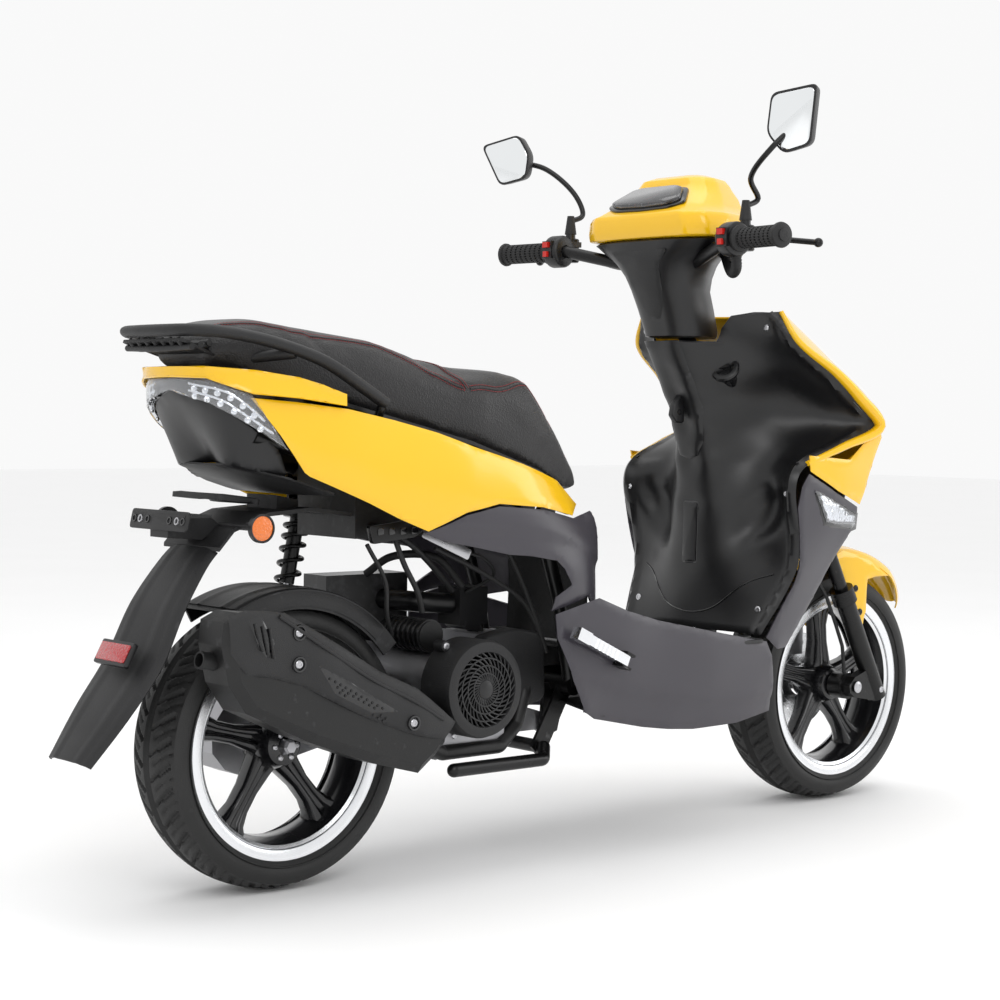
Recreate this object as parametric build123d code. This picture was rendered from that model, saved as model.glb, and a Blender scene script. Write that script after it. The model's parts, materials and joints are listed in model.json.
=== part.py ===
from build123d import *

import math
import os

# Moped scooter, millimetres. +X forward, +Y left, +Z up, ground at Z = 0, origin midway along
# the overall length. Outlines are written for the nominal wheelbase and tyre: points of the
# rear half ride with the rear axle, points of the front half ride with the front axle.

# ---- driving dimensions ----
wheelbase = 1290.0
tyre_radius = 222.0
front_tyre_width = 120.0
rear_tyre_width = 124.0
rim_radius = 174.0
rim_width = 100.0
tread_flat = 50.0
rake = 28.0
fork_lead = 83.0
leg_lead = 61.0
fork_half_track = 88.0
slider_radius = 18.0
stanchion_radius = 13.0
stem_radius = 15.0
head_tube_radius = 27.0
front_axle_radius = 6.0
rear_axle_radius = 8.0
disc_radius = 92.0
disc_thickness = 3.5
bar_radius = 11.0
grip_radius = 17.5
bar_reach = 345.0
grip_length = 112.0
pivot_bolt_radius = 6.0
shock_eye_radius = 12.0
shock_bolt_radius = 5.0
coil_radius = 22.0
rail_radius = 12.0
rail_half_track = 104.0
panel_wall = 4.0
floor_half_width = 195.0
mudflap_reach = 352.0
fan_radius = 60.0
fan_cover_radius = 78.0
running_gap = 0.05
fit_gap = 0.3
eye_gap = 2.4
wheel_gap = 16.0

# ---- places that follow from them ----
overall_length = wheelbase + tyre_radius + mudflap_reach
front_axle_x = overall_length / 2 - tyre_radius
rear_axle_x = front_axle_x - wheelbase
axle_z = tyre_radius
front_shift = front_axle_x - 710.0
rear_shift = rear_axle_x + 580.0
lift = tyre_radius - 222.0
lean = math.radians(rake)
up = Vector(-math.sin(lean), 0, math.cos(lean))
back = Vector(-math.cos(lean), 0, -math.sin(lean))
leg_foot = Vector(front_axle_x + leg_lead, 0, axle_z)
steer_foot = leg_foot + back * fork_lead
nodes = {}


def front(*points):
    """Side-view points of the front half, carried with the front axle."""
    return [(x + front_shift, z + lift) for x, z in points]


def rear(*points):
    """Side-view points of the rear half, carried with the rear axle."""
    return [(x + rear_shift, z + lift) for x, z in points]


def front3(*points):
    return [Vector(x + front_shift, y, z + lift) for x, y, z in points]


def rear3(*points):
    return [Vector(x + rear_shift, y, z + lift) for x, y, z in points]


def prism(outline, low_y, high_y):
    """A side-view outline pushed through from low_y to high_y."""
    face = Face(Wire.make_polygon([Vector(x, low_y, z) for x, z in outline]))
    return Solid.extrude(face, Vector(0, high_y - low_y, 0))


def plan_prism(outline, low_z, high_z):
    """A plan-view outline pushed up from low_z to high_z."""
    face = Face(Wire.make_polygon([Vector(x, y, low_z) for x, y in outline]))
    return Solid.extrude(face, Vector(0, 0, high_z - low_z))


def block(low, high):
    size = [b - a for a, b in zip(low, high)]
    middle = [(a + b) / 2 for a, b in zip(low, high)]
    return Pos(*middle) * Box(*size)


def rod(start, end, radius):
    start, end = Vector(start), Vector(end)
    place = Plane(origin=start, z_dir=end - start)
    length = (end - start).length
    return place * Pos(0, 0, length / 2) * Cylinder(radius, length)


def pin(x, z, low_y, high_y, radius):
    return rod((x, low_y, z), (x, high_y, z), radius)


def bent_rod(points, radius, bend):
    path = FilletPolyline(*points, radius=bend)
    section = Plane(origin=path @ 0, z_dir=path % 0) * Circle(radius)
    return sweep(section, path=path)


def bent_tube(points, radius, wall, bend):
    return bent_rod(points, radius, bend) - bent_rod(points, radius - wall, bend)


def turned(profile, x, z, y=0):
    """A profile of (y, radius) points spun about a crosswise axle."""
    face = Face(Wire.make_polygon([Vector(r, y_at, 0) for y_at, r in profile]))
    return Pos(x, y, z) * revolve(face, axis=Axis.Y)


def stack(sections):
    """A ruled solid through closed sections of (z, [(x, y), ...])."""
    wires = [Wire.make_polygon([Vector(x, y, z) for x, y in ring]) for z, ring in sections]
    return Solid.make_loft(wires, ruled=True)


def both_sides(part):
    return [part, mirror(part, about=Plane.XZ)]


def keep(name, *parts):
    solids = [solid for part in parts for solid in part.solids()]
    nodes[name] = Compound(children=solids)


def at_rail(x):
    """Height of the seat rails' centreline at x."""
    low, high = rear((-120, 560), (-700, 700))
    return low[1] + (high[1] - low[1]) * (low[0] - x) / (low[0] - high[0])


def on_stem(distance):
    return steer_foot + up * distance


# ---- wheels ----
lip_height = 9.0
lip_wall = 4.0
rim_wall = 6.0
spoke_count = 5
hub_radius = 36.0
hub_half = 44.0


def tyre(width, x):
    half, flat, edge = width / 2, tread_flat / 2, rim_width / 2 - lip_wall
    seat = rim_radius - lip_height
    outer = [(-flat, tyre_radius), (flat, tyre_radius), (half - 6, tyre_radius - 15)]
    outer += [(half, tyre_radius - 30), (half - 5, rim_radius + 3), (edge, rim_radius + 1)]
    inner = [(edge, seat), (edge - 12, seat), (edge - 12, seat + 8), (half - 9, tyre_radius - 28)]
    inner += [(flat, tyre_radius - 12)]
    ring = outer + inner + [(-y, r) for y, r in reversed(inner)]
    ring += [(-y, r) for y, r in reversed(outer[3:])] + [(-outer[2][0], outer[2][1])]
    return turned(ring, x, axle_z)


def rim(x, bore):
    half, seat = rim_width / 2, rim_radius - lip_height
    edge, inside = half - lip_wall, seat - rim_wall
    ring = [(-half, rim_radius), (-edge, rim_radius), (-edge, seat), (edge, seat)]
    ring += [(edge, rim_radius), (half, rim_radius), (half, inside), (-half, inside)]
    wheel = turned(ring, x, axle_z)
    spoke_outline = [(-24, 20), (24, 20), (15, inside + 2), (-15, inside + 2)]
    pocket = [(-9, 60), (9, 60), (5, inside - 18), (-5, inside - 18)]
    spoke = prism(spoke_outline, -15, 15) - prism(pocket, -16, -9)
    for turn in range(spoke_count):
        wheel += Pos(x, 0, axle_z) * Rot(0, 360 / spoke_count * turn, 0) * spoke
    wheel += pin(x, axle_z, -hub_half, hub_half, hub_radius)
    return wheel - pin(x, axle_z, -hub_half - 1, hub_half + 1, bore)


bearing_radius = 17.5
bearing_width = 12.0
front_wheel = rim(front_axle_x, bearing_radius)
bearings = []
for side in (-1, 1):
    outer_y = side * hub_half
    inner_y = side * (hub_half - bearing_width)
    ring = pin(front_axle_x, axle_z, min(outer_y, inner_y), max(outer_y, inner_y), bearing_radius)
    bearings.append(ring - pin(front_axle_x, axle_z, -60, 60, front_axle_radius + running_gap))
keep("front_rim", front_wheel, *bearings)
keep("front_tyre", tyre(front_tyre_width, front_axle_x))
disc_y = hub_half + 1
disc = pin(front_axle_x, axle_z, disc_y, disc_y + disc_thickness, disc_radius)
disc -= pin(front_axle_x, axle_z, disc_y - 1, disc_y + disc_thickness + 1, 48)
for turn in range(30):
    angle = math.radians(12 * turn)
    reach = disc_radius - 10 - 9 * (turn % 3)
    hole_x = front_axle_x + reach * math.cos(angle)
    hole_z = axle_z + reach * math.sin(angle)
    disc -= pin(hole_x, hole_z, disc_y - 1, disc_y + disc_thickness + 1, 3)
carrier = pin(front_axle_x, axle_z, hub_half, disc_y + disc_thickness, 52)
carrier -= pin(front_axle_x, axle_z, 0, 60, 30)
keep("brake_disc", disc + carrier)

rear_wheel = rim(rear_axle_x, rear_axle_radius)
case_face = rear_tyre_width / 2 + 13
axle_rod = pin(rear_axle_x, axle_z, -hub_half - 14, case_face + 40, rear_axle_radius)
axle_nut = pin(rear_axle_x, axle_z, -hub_half - 12, -hub_half, 15)
axle_nut -= pin(rear_axle_x, axle_z, -99, 0, rear_axle_radius)
keep("rear_rim", rear_wheel, axle_rod, axle_nut)
keep("rear_tyre", tyre(rear_tyre_width, rear_axle_x))

# ---- fork and steering ----
crown_low = 350.0
crown_thick = 24.0
slider_top = 185.0
seal_length = 30.0
seal_radius = slider_radius + 5.0
fork_travel = 50.0
bottom_out = 4.0
leg_tip = -28.0


def on_leg(distance, side):
    """A point of a fork leg, its distance measured up the leg from beside the axle."""
    return Vector(leg_foot.X, side * fork_half_track, axle_z) + up * distance


stem_low = crown_low
stem_top = stem_low + 555.0
stem = rod(on_stem(stem_low), on_stem(stem_top), stem_radius)
crown_place = Plane(origin=on_stem(crown_low), x_dir=-back, z_dir=up)
crown_half = fork_half_track + 19
crown_shape = [(-26, 26), (-26, -26), (fork_lead - 10, -crown_half), (fork_lead + 19, -crown_half)]
crown_shape += [(fork_lead + 19, crown_half), (fork_lead - 10, crown_half)]
crown_face = Face(Wire.make_polygon([crown_place.from_local_coords((x, y, 0)) for x, y in crown_shape]))
crown = Solid.extrude(crown_face, up * crown_thick)
fork_upper = stem + crown
stanchion_foot = 60.0
for side in (-1, 1):
    fork_upper += rod(on_leg(stanchion_foot, side), on_leg(crown_low + crown_thick, side), stanchion_radius)
keep("steering_stem", fork_upper)

sliders = []
for side in (-1, 1):
    leg = rod(on_leg(leg_tip, side), on_leg(slider_top, side), slider_radius)
    leg += rod(on_leg(slider_top, side), on_leg(slider_top + seal_length, side), seal_radius)
    plate_low, plate_high = sorted((side * (fork_half_track - 10), side * (fork_half_track + 10)))
    lug = front((795, 203), (772, 262), (706, 241), (690, 226), (692, 212), (704, 203), (764, 192))
    leg += prism(lug, plate_low, plate_high)
    bore_low = stanchion_foot - fork_travel - bottom_out
    seal_top = on_leg(slider_top + seal_length + 1, side)
    leg -= rod(on_leg(bore_low, side), seal_top, stanchion_radius + running_gap)
    leg -= pin(front_axle_x, axle_z, plate_low - 30, plate_high + 30, front_axle_radius)
    sliders.append(leg)
spindle_end = fork_half_track + 14
spindle = pin(front_axle_x, axle_z, -spindle_end, spindle_end, front_axle_radius)
drive_in = -hub_half - 2
drive = pin(front_axle_x, axle_z, -fork_half_track + 10, drive_in, 25)
drive -= pin(front_axle_x, axle_z, -99, 0, front_axle_radius)
spacer_in = disc_y + disc_thickness + 1.0
spacer = pin(front_axle_x, axle_z, spacer_in, fork_half_track - 10, 12)
spacer -= pin(front_axle_x, axle_z, 0, 99, front_axle_radius)
keep("fork_sliders", *sliders, spindle, drive, spacer)

fender_inner = tyre_radius + 38.0
fender_half = 64.0
fender_ring = [(-fender_half, fender_inner + 3), (fender_half, fender_inner + 3)]
fender_ring += [(fender_half, fender_inner), (-fender_half, fender_inner)]
fender_sector = [(0, 0), (-160, 420), (0, 420), (330, 420), (420, 300)]
sector = [(front_axle_x + x, axle_z + z) for x, z in fender_sector]
fender = turned(fender_ring, front_axle_x, axle_z) & prism(sector, -100, 100)
flap_outer = fork_half_track - slider_radius - fit_gap
flap = front(
    (640, 456), (700, 486), (790, 468), (845, 436), (773, 428), (771, 365), (757, 318), (706, 356),
    (680, 386), (704, 412), (694, 446)
)
for side in (-1, 1):
    flap_low, flap_high = sorted((side * (flap_outer - 6), side * flap_outer))
    fender += prism(flap, flap_low, flap_high)
    seal_foot = on_leg(slider_top - fit_gap, side)
    fender -= rod(seal_foot, seal_foot + up * (seal_length + 2 * fit_gap), seal_radius + fit_gap)
keep("front_fender", fender)

grip_slot = 0.8
disc_face = disc_y + disc_thickness
calliper = block(
    (front_axle_x - 62, disc_y - 12, axle_z + 52), (front_axle_x - 6, disc_face + 13, axle_z + 106)
)
calliper -= pin(front_axle_x, axle_z, disc_y - grip_slot, disc_face + grip_slot, disc_radius + 3)
bracket_y = fork_half_track - slider_radius - fit_gap
calliper += prism(front((655, 280), (700, 262), (742, 285), (736, 320), (690, 330)), bracket_y - 9, bracket_y)
keep("brake_calliper", calliper)

speedo_points = front3(
    (702, -74, 246.6), (690, -78, 300), (668, -78, 345), (640, -78, 398), (596, -79, 446), (540, -80, 492),
    (506, -80, 545), (492, -76, 600)
)
hose_points = front3(
    (684, 73.4, 305), (672, 84, 322), (640, 82, 398), (596, 80, 446), (540, 80, 492), (506, 80, 545),
    (492, 76, 600)
)
keep("front_cables", bent_rod(speedo_points, 3.5, 40), bent_rod(hose_points, 4.0, [8, 40, 40, 40, 40]))

# ---- handlebar group ----
bar_half = front3((272, 0, 1003), (268, 70, 1004), (212, 205, 1036))
bar_end = Vector(bar_half[2].X - 22, bar_reach, bar_half[2].Z - 1)
bar_points = [bar_end, bar_half[2], bar_half[1]]
bar_points += [Vector(p.X, -p.Y, p.Z) for p in reversed(bar_points)]
bar = bent_rod(bar_points, bar_radius, 38)
clamp = block(front3((246, -30, 984))[0], front3((298, 30, 1022))[0])
clamp += rod(on_stem(stem_top - 62), on_stem(stem_top + 2), stem_radius + 8) & block(
    front3((180, -60, 900))[0], front3((400, 60, 1003))[0]
)
bar += clamp
bar -= rod(on_stem(stem_low), on_stem(stem_top), stem_radius)
keep("handlebar", bar)

bar_way = (bar_end - bar_half[2]).normalized()


def along_bar(distance, side):
    """A point on the outer straight of the bar, measured inward from its end."""
    point = bar_end - bar_way * distance
    return Vector(point.X, side * point.Y, point.Z)


def grip(side, bore):
    sleeve = rod(along_bar(0, side), along_bar(grip_length, side), grip_radius)
    sleeve += rod(along_bar(0, side), along_bar(5, side), grip_radius + 4)
    sleeve += rod(along_bar(grip_length - 5, side), along_bar(grip_length, side), grip_radius + 5)
    for groove in range(8):
        at = 14 + groove * 11
        ring = rod(along_bar(at, side), along_bar(at + 3, side), grip_radius + 1)
        sleeve -= ring - rod(along_bar(at, side), along_bar(at + 3, side), grip_radius - 1.2)
    return sleeve - rod(along_bar(-1, side), along_bar(grip_length + 1, side), bore)


keep("left_grip", grip(1, bar_radius))
keep("throttle_grip", grip(-1, bar_radius + running_gap))

housing_start = grip_length + 1.0
housing_width = 30.0
housings = []
for side in (-1, 1):
    shell = rod(along_bar(housing_start, side), along_bar(housing_start + housing_width, side), 24)
    hub = along_bar(housing_start + housing_width / 2, side)
    shell += block((hub.X + 4, hub.Y - 13, hub.Z - 12), (hub.X + 46, hub.Y + 13, hub.Z + 20))
    shell += block((hub.X - 30, hub.Y - 12, hub.Z - 14), (hub.X, hub.Y + 12, hub.Z + 18))
    shell += rod((hub.X + 30, hub.Y, hub.Z + 20), (hub.X + 30, hub.Y, hub.Z + 34), 9)
    shell -= bar
    housings.append(shell)

button_slots = {
    "starter_button": (-1, -8), "light_switch": (-1, 9), "horn_button": (1, -8), "indicator_switch": (1, 9)
}
button_half = (4.0, 6.5, 5.0)
button_depth = 8.0
for name, (side, rise) in button_slots.items():
    hub = along_bar(housing_start + housing_width / 2, side)
    face_x = hub.X - 30
    push = name.endswith("button")
    half_y = button_half[2] if push else button_half[1]
    half_z = button_half[2]
    travel = 0.0 if push else 3.0
    slot_low = (face_x - 1, hub.Y - half_y - travel - fit_gap, hub.Z + 2 + rise - half_z - fit_gap)
    slot_high = (
        face_x + button_depth + 3, hub.Y + half_y + travel + fit_gap, hub.Z + 2 + rise + half_z + fit_gap
    )
    index = 0 if side < 0 else 1
    housings[index] -= block(slot_low, slot_high)
    low = (face_x - 5, hub.Y - half_y, hub.Z + 2 + rise - half_z)
    high = (face_x + button_depth, hub.Y + half_y, hub.Z + 2 + rise + half_z)
    keep(name, block(low, high))

lever_names = {-1: "brake_lever_right", 1: "brake_lever_left"}
lever_drop = 12.0
for index, side in enumerate((-1, 1)):
    hub = along_bar(housing_start + housing_width / 2, side)
    post = Vector(hub.X + 36, hub.Y, hub.Z + 4)
    slot_low = (post.X - 12, post.Y - 14, post.Z - 6)
    slot_high = (post.X + 12, post.Y + 14, post.Z + 6)
    housings[index] -= block(slot_low, slot_high)
    housings[index] += rod((post.X, post.Y, post.Z - 8), (post.X, post.Y, post.Z + 8), 4)
    blade_points = [Vector(post.X + 4, post.Y + side * 6, post.Z)]
    blade_points += [Vector(post.X + 26, post.Y + side * 44, post.Z - 2)]
    blade_points += [Vector(post.X + 34, post.Y + side * 128, post.Z - lever_drop)]
    lever = bent_rod(blade_points, 5, 30) + Pos(*blade_points[-1]) * Sphere(8)
    lever += rod((post.X, post.Y, post.Z - 5), (post.X, post.Y, post.Z + 5), 10)
    lever -= rod((post.X, post.Y, post.Z - 9), (post.X, post.Y, post.Z + 9), 4 + running_gap)
    keep(lever_names[side], lever)
keep("switch_housings", *housings)

mirror_stem_points = {
    -1: front3((250, -236, 1098), (232, -236, 1140), (222, -292, 1186)),
    1: front3((250, 236, 1098), (262, 232, 1146), (222, 272, 1194)),
}
mirror_outline = {
    -1: [(-42, 62), (44, 34), (40, -28), (8, -52), (-40, -14)],
    1: [(-70, 24), (20, 50), (50, 8), (44, -26), (6, -38), (-48, -14)],
}
mirror_middle = {-1: front3((252, -318, 1232))[0], 1: front3((168, 312, 1206))[0]}
for side, name in ((-1, "mirror_right"), (1, "mirror_left")):
    hub = along_bar(housing_start + housing_width / 2, side)
    foot = Vector(hub.X + 30, hub.Y, hub.Z + 34 + fit_gap)
    first, second, third = mirror_stem_points[side]
    head = mirror_middle[side]
    base = rod(foot, foot + Vector(0, 0, 16), 9) + rod(foot + Vector(0, 0, 14), foot + Vector(0, 0, 30), 7)
    path = [foot + Vector(0, 0, 24), Vector(first.X + 20, hub.Y, first.Z + 10), second, third, head]
    arm = bent_rod(path, 4.5, 10)
    plane = Plane(origin=head, x_dir=(0.55, -0.45, 0), z_dir=(-0.62, 0.12 * side, -0.06))
    outline = mirror_outline[side]
    shell_face = Face(Wire.make_polygon([plane.from_local_coords((x, y, -10)) for x, y in outline]))
    shell = Solid.extrude(shell_face, plane.z_dir * 20)
    keep(name, base + arm + shell)

# ---- handlebar covers ----


def ring_of(low_x, high_x, half_y, nose):
    """A six-sided plan ring, its front narrowed to the nose half width."""
    corner = (high_x - low_x) * 0.3
    return [
        (low_x, -half_y * 0.72), (low_x + corner, -half_y), (high_x - corner, -half_y * 0.8),
        (high_x, -nose), (high_x, nose), (high_x - corner, half_y * 0.8),
        (low_x + corner, half_y), (low_x, half_y * 0.72),
    ]


def shrink(ring, by):
    middle = sum(x for x, _ in ring) / len(ring)
    reach = max(x for x, _ in ring) - middle
    wide = max(y for _, y in ring)
    return [(middle + (x - middle) * (1 - by / reach), y * (1 - by / wide)) for x, y in ring]


def cup(sections, wall, low_open, high_open):
    """A hollow stack, left open below or above."""
    inner = [(z, shrink(ring, wall)) for z, ring in sections]
    low_z, high_z = sections[0][0], sections[-1][0]
    bottom = low_z - 1 if low_open else low_z + wall
    top = high_z + 1 if high_open else high_z - wall
    core = stack(inner)
    if low_open:
        core += stack([(low_z - 1, inner[0][1]), (low_z, inner[0][1])])
    if high_open:
        core += stack([(high_z, inner[-1][1]), (high_z + 1, inner[-1][1])])
    return stack(sections) - (core & block((-2000, -500, bottom), (2000, 500, top)))


def lifted(sections, shift):
    return [(z + lift, [(x + shift, y) for x, y in ring]) for z, ring in sections]


dash_sections = lifted([
    (1046, ring_of(200, 404, 152, 60)),
    (1088, ring_of(196, 428, 146, 55)),
    (1118, ring_of(214, 430, 112, 45)),
    (1150, ring_of(318, 372, 52, 30)),
], front_shift)
dash = cup(dash_sections, 4, True, False)
pod_half = 80.0
pod_side = front((214, 1092), (214, 1118.3), (318, 1149.5), (330, 1120), (250, 1088))
instrument = prism(pod_side, -pod_half, pod_half)
pod_hole = front((190, 1101), (190, 1130), (326, 1170), (326, 1125))
dash -= prism(pod_hole, -pod_half - fit_gap, pod_half + fit_gap)
instrument &= stack([(z, shrink(ring, -0.2)) for z, ring in dash_sections])
instrument -= dash
keep("handlebar_cover", dash)
keep("instrument", instrument)
neck_sections = lifted([
    (888, ring_of(254, 392, 58, 30)),
    (960, ring_of(222, 366, 62, 34)),
    (1004, ring_of(202, 380, 84, 40)),
    (1045.7, ring_of(200, 404, 150, 60)),
], front_shift)
web_half = 75.0
web_low, web_high = front3((250, -web_half, 985), (290, web_half, 991))
neck = cup(neck_sections, 3, True, True) + block(tuple(web_low), tuple(web_high))
neck -= bent_rod(bar_points, bar_radius + 3, 38)
neck -= rod(on_stem(stem_low), on_stem(stem_top + 10), stem_radius + 10)
clamp_half = 30.0 + fit_gap
clamp_low, clamp_high = front3((244, -clamp_half, 970), (300, clamp_half, 1030))
neck -= block(tuple(clamp_low), tuple(clamp_high))
keep("neck_cover", neck)

# ---- frame ----
head_tube_low = crown_low + crown_thick + 1.0
head_tube_high = head_tube_low + 200.0
spine_top = on_stem((head_tube_low + head_tube_high) / 2)
spine_points = [spine_top] + front3((412, 0, 470), (384, 0, 283)) + rear3((-45, 0, 282))
spine_radius = 20.0
cross_x, cross_z = rear((-45, 282))[0]
frame = rod(on_stem(head_tube_low), on_stem(head_tube_high), head_tube_radius)
frame += bent_rod(spine_points, spine_radius, 60)
frame += pin(cross_x, cross_z, -rail_half_track - 10, rail_half_track + 10, 16)
rail_kick = rear3((-45, rail_half_track, 282), (-75, rail_half_track, 430), (-120, rail_half_track, 560))
rail_end = rear3((-688, rail_half_track, 697.1))
for side in (-1, 1):
    points = [Vector(p.X, side * p.Y, p.Z) for p in rail_kick + rail_end]
    frame += bent_rod(points, rail_radius, 40)
tail_x = rear_axle_x - 110.0
frame += pin(tail_x, at_rail(tail_x), -rail_half_track, rail_half_track, 10)
frame -= rod(on_stem(head_tube_low - 1), on_stem(head_tube_high + 1), 20)
for cross in (60.0, 240.0):
    reach = floor_half_width - 6
    frame += block((cross - 10, -reach, cross_z + 8), (cross + 10, reach, 338 + lift))
pivot_x, pivot_z = rear((-60, 214))[0]
ear = rear((-72, 285), (-20, 285), (-42, 202), (-60, 196), (-78, 202))
stand_x, stand_z = rear((-105, 184))[0]
stand_ear = rear((-60, 285), (-25, 285), (-88, 176), (-105, 168), (-121, 184))
for side in (-1, 1):
    low, high = sorted((side * 62, side * 70))
    frame += prism(ear, low, high)
    low, high = sorted((side * 88, side * 94))
    frame += prism(stand_ear, low, high)
frame -= pin(pivot_x, pivot_z, -99, 99, pivot_bolt_radius)
frame -= pin(stand_x, stand_z, -99, 99, 7 + running_gap)
shock_y = 102.0
shock_top = rear3((-455, shock_y, 585))[0]
shock_foot = rear3((-505, shock_y, 328))[0]
eye_half = 12.0
rail_z = at_rail(shock_top.X)
shock_ear = [(shock_top.X - 16, rail_z), (shock_top.X + 16, rail_z)]
shock_ear += [(shock_top.X + 12, shock_top.Z - 12), (shock_top.X - 12, shock_top.Z - 12)]
for low in (shock_y - eye_half - 6.3, shock_y + eye_half + fit_gap):
    frame += prism(shock_ear, low, low + 6)
frame += block(
    (shock_top.X - 14, shock_y - eye_half - 6.3, rail_z - 12), (shock_top.X + 14, rail_half_track, rail_z - 2)
)
frame -= pin(shock_top.X, shock_top.Z, 60, 140, shock_bolt_radius)
stay_x = [rear((x, 0))[0][0] for x in (-600.0, -300.0)]
stay_reach = 150.0
for x in stay_x:
    for side in (-1, 1):
        frame += rod((x, side * rail_half_track, at_rail(x)), (x, side * stay_reach, at_rail(x)), 6)
peg_hinge = Vector(rear_axle_x + 551, 216, 334 + lift)
peg_way = Vector(-0.905, 0, 0.425).normalized()
peg_axis = Vector(0.425, 0, 0.905).normalized()
for side in (-1, 1):
    hinge = Vector(peg_hinge.X, side * peg_hinge.Y, peg_hinge.Z)
    frame += rod((cross_x, side * rail_half_track, cross_z + 30), hinge - Vector(0, side * 10, 0), 7)
    post_foot = Vector(cross_x - 6, side * rail_half_track, cross_z)
    frame += rod(post_foot, post_foot + Vector(0, 0, 40), 9)
    clevis = Plane(origin=hinge, x_dir=peg_way, z_dir=peg_axis)
    for ear_z in (-13.3, 9.3):
        frame += clevis * Pos(0, 0, ear_z + 2) * Box(20, 22, 4)
    back_web = Vector(hinge.X, hinge.Y - side * 13, hinge.Z)
    frame += Plane(origin=back_web, x_dir=peg_way, z_dir=peg_axis) * Box(20, 4, 26.6)
    frame += rod(hinge - peg_axis * 13, hinge + peg_axis * 13, 4)
seat_hinge_x, seat_hinge_z = rear((-28, 583))[0]
hinge_pin_radius = 4.0
hinge_half = 20.0
hinge_plate = 12.0
hinge_side = rear((-122, 532), (-104, 532), (-20, 558), (-16, 591), (-40, 591), (-60, 566), (-122, 548))
hinge_end = hinge_half + hinge_plate
frame += pin(seat_hinge_x, seat_hinge_z, -hinge_end, hinge_end, hinge_pin_radius)
for low in (-hinge_end, hinge_half + fit_gap):
    frame += prism(hinge_side, low, low + hinge_plate - fit_gap)
hinge_cross_x, hinge_cross_z = rear((-113, 540))[0]
frame += pin(hinge_cross_x, hinge_cross_z, -rail_half_track, rail_half_track, 9)
head_rings = []
for low, high in ((head_tube_low, head_tube_low + 14), (head_tube_high - 14, head_tube_high)):
    ring = rod(on_stem(low), on_stem(high), 20)
    head_rings.append(ring - rod(on_stem(low - 1), on_stem(high + 1), stem_radius + running_gap))
pivot_bolt = pin(pivot_x, pivot_z, -78, 78, pivot_bolt_radius)
shock_bolt = pin(shock_top.X, shock_top.Z, shock_y - 20, shock_y + 20, shock_bolt_radius)
keep("main_frame", frame, *head_rings, pivot_bolt, shock_bolt)

# ---- engine and its swinging case ----
crank_x, crank_z = rear((-286, 300))[0]
cover_face = 166.0
case_low, case_high = case_face, case_face + 68.0
fan_shaft_radius = 8.0
case = pin(crank_x, crank_z, -100, case_low, 68)
case += prism(rear((-352, 300), (-352, 215), (-330, 196), (-220, 196), (-220, 300)), -100, 60)
drive_case = prism(
    rear((-286, 378), (-250, 368), (-214, 330), (-208, 290), (-230, 245), (-286, 222), (-580, 160),
         (-612, 172), (-636, 200), (-638, 240), (-612, 274), (-580, 285)),
    case_low, case_high,
)
drive_case += pin(crank_x, crank_z, case_low, case_high + 6, 62)
case += drive_case
arm = rear((-240, 262), (-240, 206), (-78, 206), (-66, 199), (-46, 205), (-42, 218), (-60, 232), (-100, 244))
for side in (-1, 1):
    low, high = sorted((side * 46, side * 61.7))
    case += prism(arm, low, high)
lug = [(shock_foot.X - 30, 296 + lift), (shock_foot.X + 24, 306 + lift)]
lug += [(shock_foot.X + 11, shock_foot.Z + 9), (shock_foot.X - 11, shock_foot.Z + 9)]
for low in (shock_y - eye_half - 6.3, shock_y + eye_half + fit_gap):
    case += prism(lug, low, low + 6)
case += pin(shock_foot.X, shock_foot.Z, shock_y - eye_half - 6, shock_y + eye_half + 6, shock_bolt_radius)
case -= pin(pivot_x, pivot_z, -99, 99, pivot_bolt_radius + running_gap)
case -= pin(rear_axle_x, axle_z, case_low - 1, case_low + 46, rear_axle_radius + running_gap)
case -= pin(crank_x, crank_z, -101, -50, fan_shaft_radius + running_gap)
kick_x, kick_z = rear((-316, 262))[0]
case -= pin(kick_x, kick_z, case_high - 30, case_high + 30, 7 + running_gap)
keep("crankcase", case)

barrel = prism(rear((-217, 262), (-217, 350), (-92, 368), (-84, 262)), -46, 46)
for fin in range(8):
    fin_x = crank_x + 84 + fin * 10
    barrel += block((fin_x, -58, 252 + lift), (fin_x + 4, 58, 372 + lift))
barrel -= pin(crank_x, crank_z, -200, 200, 68)
barrel -= prism(rear((-400, 196), (-400, 262), (-219.9, 262), (-219.9, 196)), -200, 200)
arm_clear = rear((-240, 262), (-240, 190), (-40, 190), (-40, 232), (-60, 245), (-100, 262))
barrel -= prism(arm_clear, -62, 62)
keep("cylinder", barrel)

cover = pin(crank_x, crank_z, -cover_face - 4, -100, fan_cover_radius)
cover -= pin(crank_x, crank_z, -cover_face, -99, fan_cover_radius - 5)
cover -= pin(crank_x, crank_z, -cover_face - 5, -99, fan_radius - 2)
grille = pin(crank_x, crank_z, -cover_face - 4, -cover_face, 14)
for spoke in range(16):
    bar_piece = block((-1.5, -cover_face - 4, 8), (1.5, -cover_face, fan_radius + 2))
    grille += Pos(crank_x, 0, crank_z) * Rot(0, 22.5 * spoke, 0) * bar_piece
for ring in (26.0, 38.0, 50.0):
    grille += pin(crank_x, crank_z, -cover_face - 4, -cover_face, ring + 1.5) - pin(
        crank_x, crank_z, -cover_face - 5, -cover_face + 1, ring - 1.5
    )
keep("fan_cover", cover + grille)

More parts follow.
